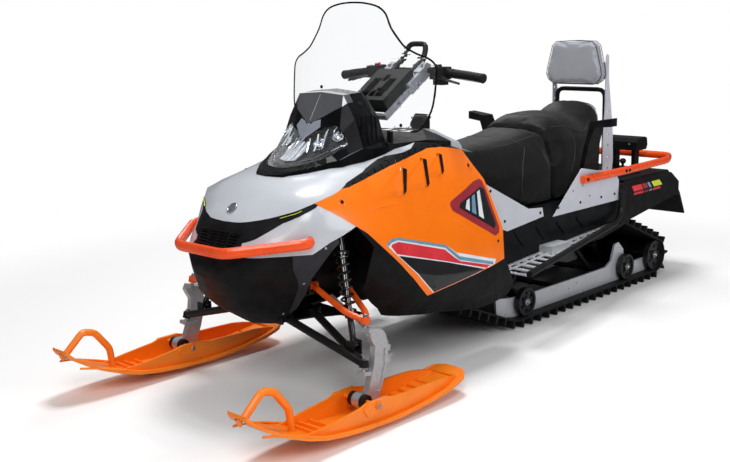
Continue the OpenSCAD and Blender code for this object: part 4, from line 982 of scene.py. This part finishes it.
# Skis: rounded lip round the rim, steel runner, bolts of the loop
skiX = 490
skis = {
    "lip": [(-1570, 70, 128), (-1500, 85, 114), (-1400, 94, 83), (-1330, 95, 61), (-1240, 95, 47), (-1150, 95, 39),
            (-1000, 95, 33), (-900, 95, 37), (-820, 95, 43), (-720, 94, 56), (-650, 86, 67), (-612, 70, 79)],
    "runner": [(-1300, 28), (-1240, 4.5), (-1200, 0.4), (-1000, 0.4), (-850, 0.4), (-806, 5)],
}
for side, body, tag in ((1, "ski_left_body", "Left"), (-1, "ski_right_body", "Right")):
    bm = bmesh.new()
    for edge in (1, -1):
        line = curved([mm(side * skiX + edge * (x - 3), y, z + 1) for y, x, z in skis["lip"]], 5)
        sweep(bm, line, 0.0042, 8)
    fromBmesh(bm, "skiLip" + tag, "skiPolyethylene", body, 60)
    line = curved([mm(side * skiX, y, z + 5) for y, z in skis["runner"]], 5)
    addTube("skiRunner" + tag, line, 0.0048, "zincPlate", body)
    loopBolts = [(mm(side * skiX + e * 15, -1596, 170), Vector((e, 0, 0.2)), 7) for e in (1, -1)]
    loopBolts += [(mm(side * skiX + e * 84, -1085, 92), Vector((e, 0, 0)), 11) for e in (1, -1)]
    addBolts("skiBolts" + tag, loopBolts, "zincPlate", body)
    # steps moulded across the ski's floor ahead of and behind the bolt
    steps = []
    for k in range(4):
        y = -1378 + k * 42
        z = 66 - k * 9
        steps.append([mm(side * skiX + x, y + d, z + h) for h in (0, 10) for x, d in
                      ((-56, 0), (56, 0), (56, 7), (-56, 7))])
    for k in range(5):
        y = -930 + k * 48
        z = 34 + k * 4
        steps.append([mm(side * skiX + x, y + d, z + h) for h in (0, 9) for x, d in
                      ((-56, 0), (56, 0), (56, 6), (-56, 6))])
    addBlocks("skiSteps" + tag, steps, "skiPolyethylene", body, 0.0012)


# Front suspension: nuts on the studs, adjusters and seats of the springs
low, high = Vector((404, -1018, 252)), Vector((272, -944, 602))
for side, tag, body in ((1, "Left", "spindle_left_body"), (-1, "Right", "spindle_right_body")):
    axis = Vector((side * -14, 27, 141)).normalized()
    nuts = []
    for x, y, z, reach in ((478, -1048, 205, 15), (464, -1021, 346, 15), (446, -900, 222, 17)):
        place = mm(side * x, y, z) + axis * reach / 1000
        nuts.append((place, axis, 10))
    addBolts("spindleNuts" + tag, nuts[:2], "zincPlate", "chassis")
    addBolts("rodNut" + tag, nuts[2:], "zincPlate", body)

    def along(t):
        p = low + (high - low) * t
        return mm(side * p.x, p.y, p.z)
    line = (along(1) - along(0)).normalized()
    addTurned("shockAdjuster" + tag, along(0.265), line,
              [(0, 0), (24, 0), (25, 1), (25, 5), (23, 6), (23, 8), (25, 9), (25, 12), (24, 13), (0, 13)],
              "redAnodised")
    addTurned("shockCup" + tag, along(0.825), line, [(0, 0), (27, 0), (28, 1), (28, 6), (22, 9), (0, 9)],
              "blackOxide")


# Tunnel and boards: rivets, bolts of the plates, teeth of the grating
rivets = []
for side in (1, -1):
    for y in range(90, 960, 76):
        rivets.append((mm(side * 262.2, y, 462), Vector((side, 0, 0)), 4.5))
    for y in range(1010, 1540, 88):
        rivets.append((mm(side * 268.2, y, 436), Vector((side, 0, 0)), 4.5))
addBolts("tunnelRivets", rivets, "blackOxide", head=domeScrew)
plateBolts = []
for side in (1, -1):
    for y, z in ((-60, 640), (40, 500), (300, 498), (440, 500), (620, 500), (800, 500), (920, 500)):
        plateBolts.append((mm(side * 265.1, y, z), Vector((side, 0, 0)), 6.5))
addBolts("plateBolts", plateBolts, "blackOxide", head=domeScrew)


def boardTeeth():
    bm = bmesh.new()
    tilt = math.radians(3.8)
    for side in (1, -1):
        for i in range(13):
            for j, x in enumerate((276, 292, 308, 324, 340, 356)):
                along = 66 + i * 58
                if x > 300 + (10 - i) * 7:
                    continue
                y = -80 + along * math.cos(tilt)
                z = 296 + along * math.sin(tilt) + 5
                lathe(bm, mm(side * x, y, z), Vector((0, -0.07, 1)), [(4.2, 0), (3.6, 2.6), (2.4, 3.2), (0, 2.4)], 8)
    return fromBmesh(bm, "boardTeeth", "punchedAluminium", angle=30)


boardTeeth()


# Rear: lashing bolts of the rack, lens and screws of the lamp, deck stripes, ribs of the flap
rackBolts = [(mm(s * 292, y, 604), Vector((s, 0, 0)), 8) for s in (1, -1) for y in (640, 980, 1010)]
addBolts("rackBolts", rackBolts, "blackOxide", head=domeScrew)
lampLens = [[mm(x, y, z) for z, y in ((650, 1528), (692, 1532)) for x, y in ((-82, y - 6), (82, y - 6), (82, y + 5),
                                                                          (-82, y + 5))]]
addBlocks("tailLens", lampLens, "redAcrylic", bevel=0.003)
addBolts("tailLampScrews", [(mm(x, 1424, 672), Vector((0, -1, 0.05)), 6) for x in (-52, 52)], "zincPlate",
         head=domeScrew)
addTurned("deckKnob", mm(0, 1456, 538), Vector((0, 0, 1)),
          [(16, 0), (16, 3), (7, 6), (7, 26), (13, 30), (17, 38), (17, 44), (12, 51), (5, 54), (0, 54.4)],
          "gripRubber", angle=40)
deckSkin = surfaceOf("rear_body")
deckStripes = {
    "deckStripeRed": ([(1096, 470), (1120, 508), (1212, 508), (1190, 470)], "redFilm"),
    "deckStripeDark": ([(1198, 470), (1220, 508), (1262, 508), (1240, 470)], "darkRedFilm"),
    "deckStripeSlate": ([(1250, 470), (1272, 508), (1296, 508), (1274, 470)], "slateFilm"),
    "deckStripeYellow": ([(1304, 486), (1316, 508), (1400, 508), (1388, 486)], "yellowFilm"),
    "deckStripeRedLow": ([(1284, 470), (1290, 481), (1366, 481), (1360, 470)], "redFilm"),
}
for name, (outline, finish) in deckStripes.items():
    bothSides(name, deckSkin, outline, finish, "black_plastic", lift=0.6)
flapRibs = []
for x in (-180, -90, 0, 90, 180):
    flapRibs.append(curved([mm(x, 1588, 470), mm(x, 1630, 416), mm(x, 1664, 362), mm(x, 1689, 312)], 4))
addTube("flapRibs", flapRibs, 0.004, "flapRubber")


# Running gear: hub caps and bolts of the wheels
# place along the sled and radius of each pair of wheels
wheels = [(250, 64), (1110, 64), (1384, 76)]
bm = bmesh.new()
lugHeight, beltThickness, clearance = 32, 8, 2
floorZ = lugHeight + beltThickness + clearance
for y, r in wheels:
    for side in (1, -1):
        hub = mm(side * 238, y, floorZ + r)
        lathe(bm, hub, Vector((side, 0, 0)), [(15, -2), (15, 1), (12, 2), (0, 2)], 20)
        hexBolt(bm, mm(side * 240, y, floorZ + r), Vector((side, 0, 0)), 10)
fromBmesh(bm, "wheelBolts", "zincPlate", angle=30)


# Floor, world and lamps
studio = {
    # the mirrored colour is painted: it darkens the floor only where it is seen in reflections
    "floor": {"reach": 40.0, "fadeFrom": 1.9, "fadeTo": 3.2, "color": "#fcfcfc", "mirrored": "#a8a8a8"},
    "sky": {"low": 0.05, "high": 0.36},
    "lamps": {
        "keyLamp": {"place": (3.4, -4.4, 4.2), "size": 2.2, "power": 132},
        "sideLamp": {"place": (5.2, 0.2, 2.6), "size": 2.4, "power": 70},
        "backLamp": {"place": (-3.4, 3.0, 4.2), "size": 2.4, "power": 60},
        "topLamp": {"place": (-0.4, 0.0, 5.0), "size": 1.5, "power": 150},
    },
}


def makeFloor(spec):
    bm = bmesh.new()
    cells = 8
    step = spec["reach"] / cells
    grid = [[bm.verts.new(((i - cells / 2) * step, (j - cells / 2) * step, 0)) for i in range(cells + 1)]
            for j in range(cells + 1)]
    for j in range(cells):
        for i in range(cells):
            bm.faces.new((grid[j][i], grid[j][i + 1], grid[j + 1][i + 1], grid[j + 1][i]))
    mesh = bpy.data.meshes.new("floor")
    bm.to_mesh(mesh)
    bm.free()
    obj = bpy.data.objects.new("floor", mesh)
    bpy.context.scene.collection.objects.link(obj)
    # matt studio paper: white, with the object's soft shadow, and lost in the white beyond it
    mat = bpy.data.materials.new("studioPaper")
    mat.use_nodes = True
    tree = mat.node_tree
    shader = tree.nodes["Principled BSDF"]
    shader.inputs["Roughness"].default_value = 0.9
    shader.inputs["Specular IOR Level"].default_value = 0.1
    place = addNode(tree, "ShaderNodeTexCoord").outputs["Object"]
    fibre = addNode(tree, "ShaderNodeTexNoise", None, {"Scale": 300.0}, {"Vector": place}).outputs["Fac"]
    bump = addNode(tree, "ShaderNodeBump", None, {"Strength": 0.1, "Distance": 0.0002}, {"Height": fibre})
    tree.links.new(bump.outputs["Normal"], shader.inputs["Normal"])
    away = addNode(tree, "ShaderNodeVectorMath", {"operation": "LENGTH"}, None, {0: place}).outputs["Value"]
    fade = addNode(tree, "ShaderNodeMapRange", {"interpolation_type": "SMOOTHSTEP"},
                   {"From Min": spec["fadeFrom"], "From Max": spec["fadeTo"]}, {"Value": away}).outputs["Result"]
    rays = addNode(tree, "ShaderNodeLightPath")
    # paper painted darker where it is seen in reflections: a painted reflection standing in for a black studio beyond
    # it
    paper = addNode(tree, "ShaderNodeMix", {"data_type": "RGBA"}, None, {"Factor": rays.outputs["Is Glossy Ray"]})
    paper.inputs["A"].default_value = toLinear(spec["color"])
    paper.inputs["B"].default_value = toLinear(spec["mirrored"])
    tree.links.new(paper.outputs["Result"], shader.inputs["Base Color"])
    seen = addNode(tree, "ShaderNodeMath", {"operation": "MAXIMUM"}, None,
                   {0: rays.outputs["Is Camera Ray"], 1: rays.outputs["Is Transmission Ray"]}).outputs[0]
    share = addNode(tree, "ShaderNodeMath", {"operation": "MULTIPLY"}, None, {0: fade, 1: seen}).outputs[0]
    white = addNode(tree, "ShaderNodeEmission").outputs[0]
    blend = addNode(tree, "ShaderNodeMixShader", None, None, {0: share, 1: shader.outputs[0], 2: white})
    tree.links.new(blend.outputs[0], tree.nodes["Material Output"].inputs["Surface"])
    mesh.materials.append(mat)


def makeStudio(spec):
    world = bpy.data.worlds.new("studio")
    bpy.context.scene.world = world
    world.use_nodes = True
    tree = world.node_tree
    back = tree.nodes["Background"]
    back.inputs["Color"].default_value = (1, 1, 1, 1)
    # white to the eye and through glass; for everything else bright above and dim at the horizon
    height = addNode(tree, "ShaderNodeSeparateXYZ", None, None,
                     {0: addNode(tree, "ShaderNodeTexCoord").outputs["Generated"]}).outputs["Z"]
    glow = addNode(tree, "ShaderNodeMapRange", None, {"To Min": spec["sky"]["low"], "To Max": spec["sky"]["high"]},
                   {"Value": height}).outputs["Result"]
    rays = addNode(tree, "ShaderNodeLightPath")
    seen = addNode(tree, "ShaderNodeMath", {"operation": "MAXIMUM"}, None,
                   {0: rays.outputs["Is Camera Ray"], 1: rays.outputs["Is Transmission Ray"]}).outputs[0]
    strength = addNode(tree, "ShaderNodeMath", {"operation": "MAXIMUM"}, None, {0: glow, 1: seen})
    tree.links.new(strength.outputs[0], back.inputs["Strength"])
    for name, lamp in spec["lamps"].items():
        data = bpy.data.lights.new(name, "AREA")
        data.energy = lamp["power"]
        data.size = lamp["size"]
        obj = bpy.data.objects.new(name, data)
        place = Vector(lamp["place"])
        obj.location = place
        obj.rotation_euler = (place - Vector((0, 0, 0.5))).to_track_quat("Z", "Y").to_euler()
        bpy.context.scene.collection.objects.link(obj)


makeFloor(studio["floor"])
makeStudio(studio)
bpy.context.scene.view_settings.view_transform = "Standard"
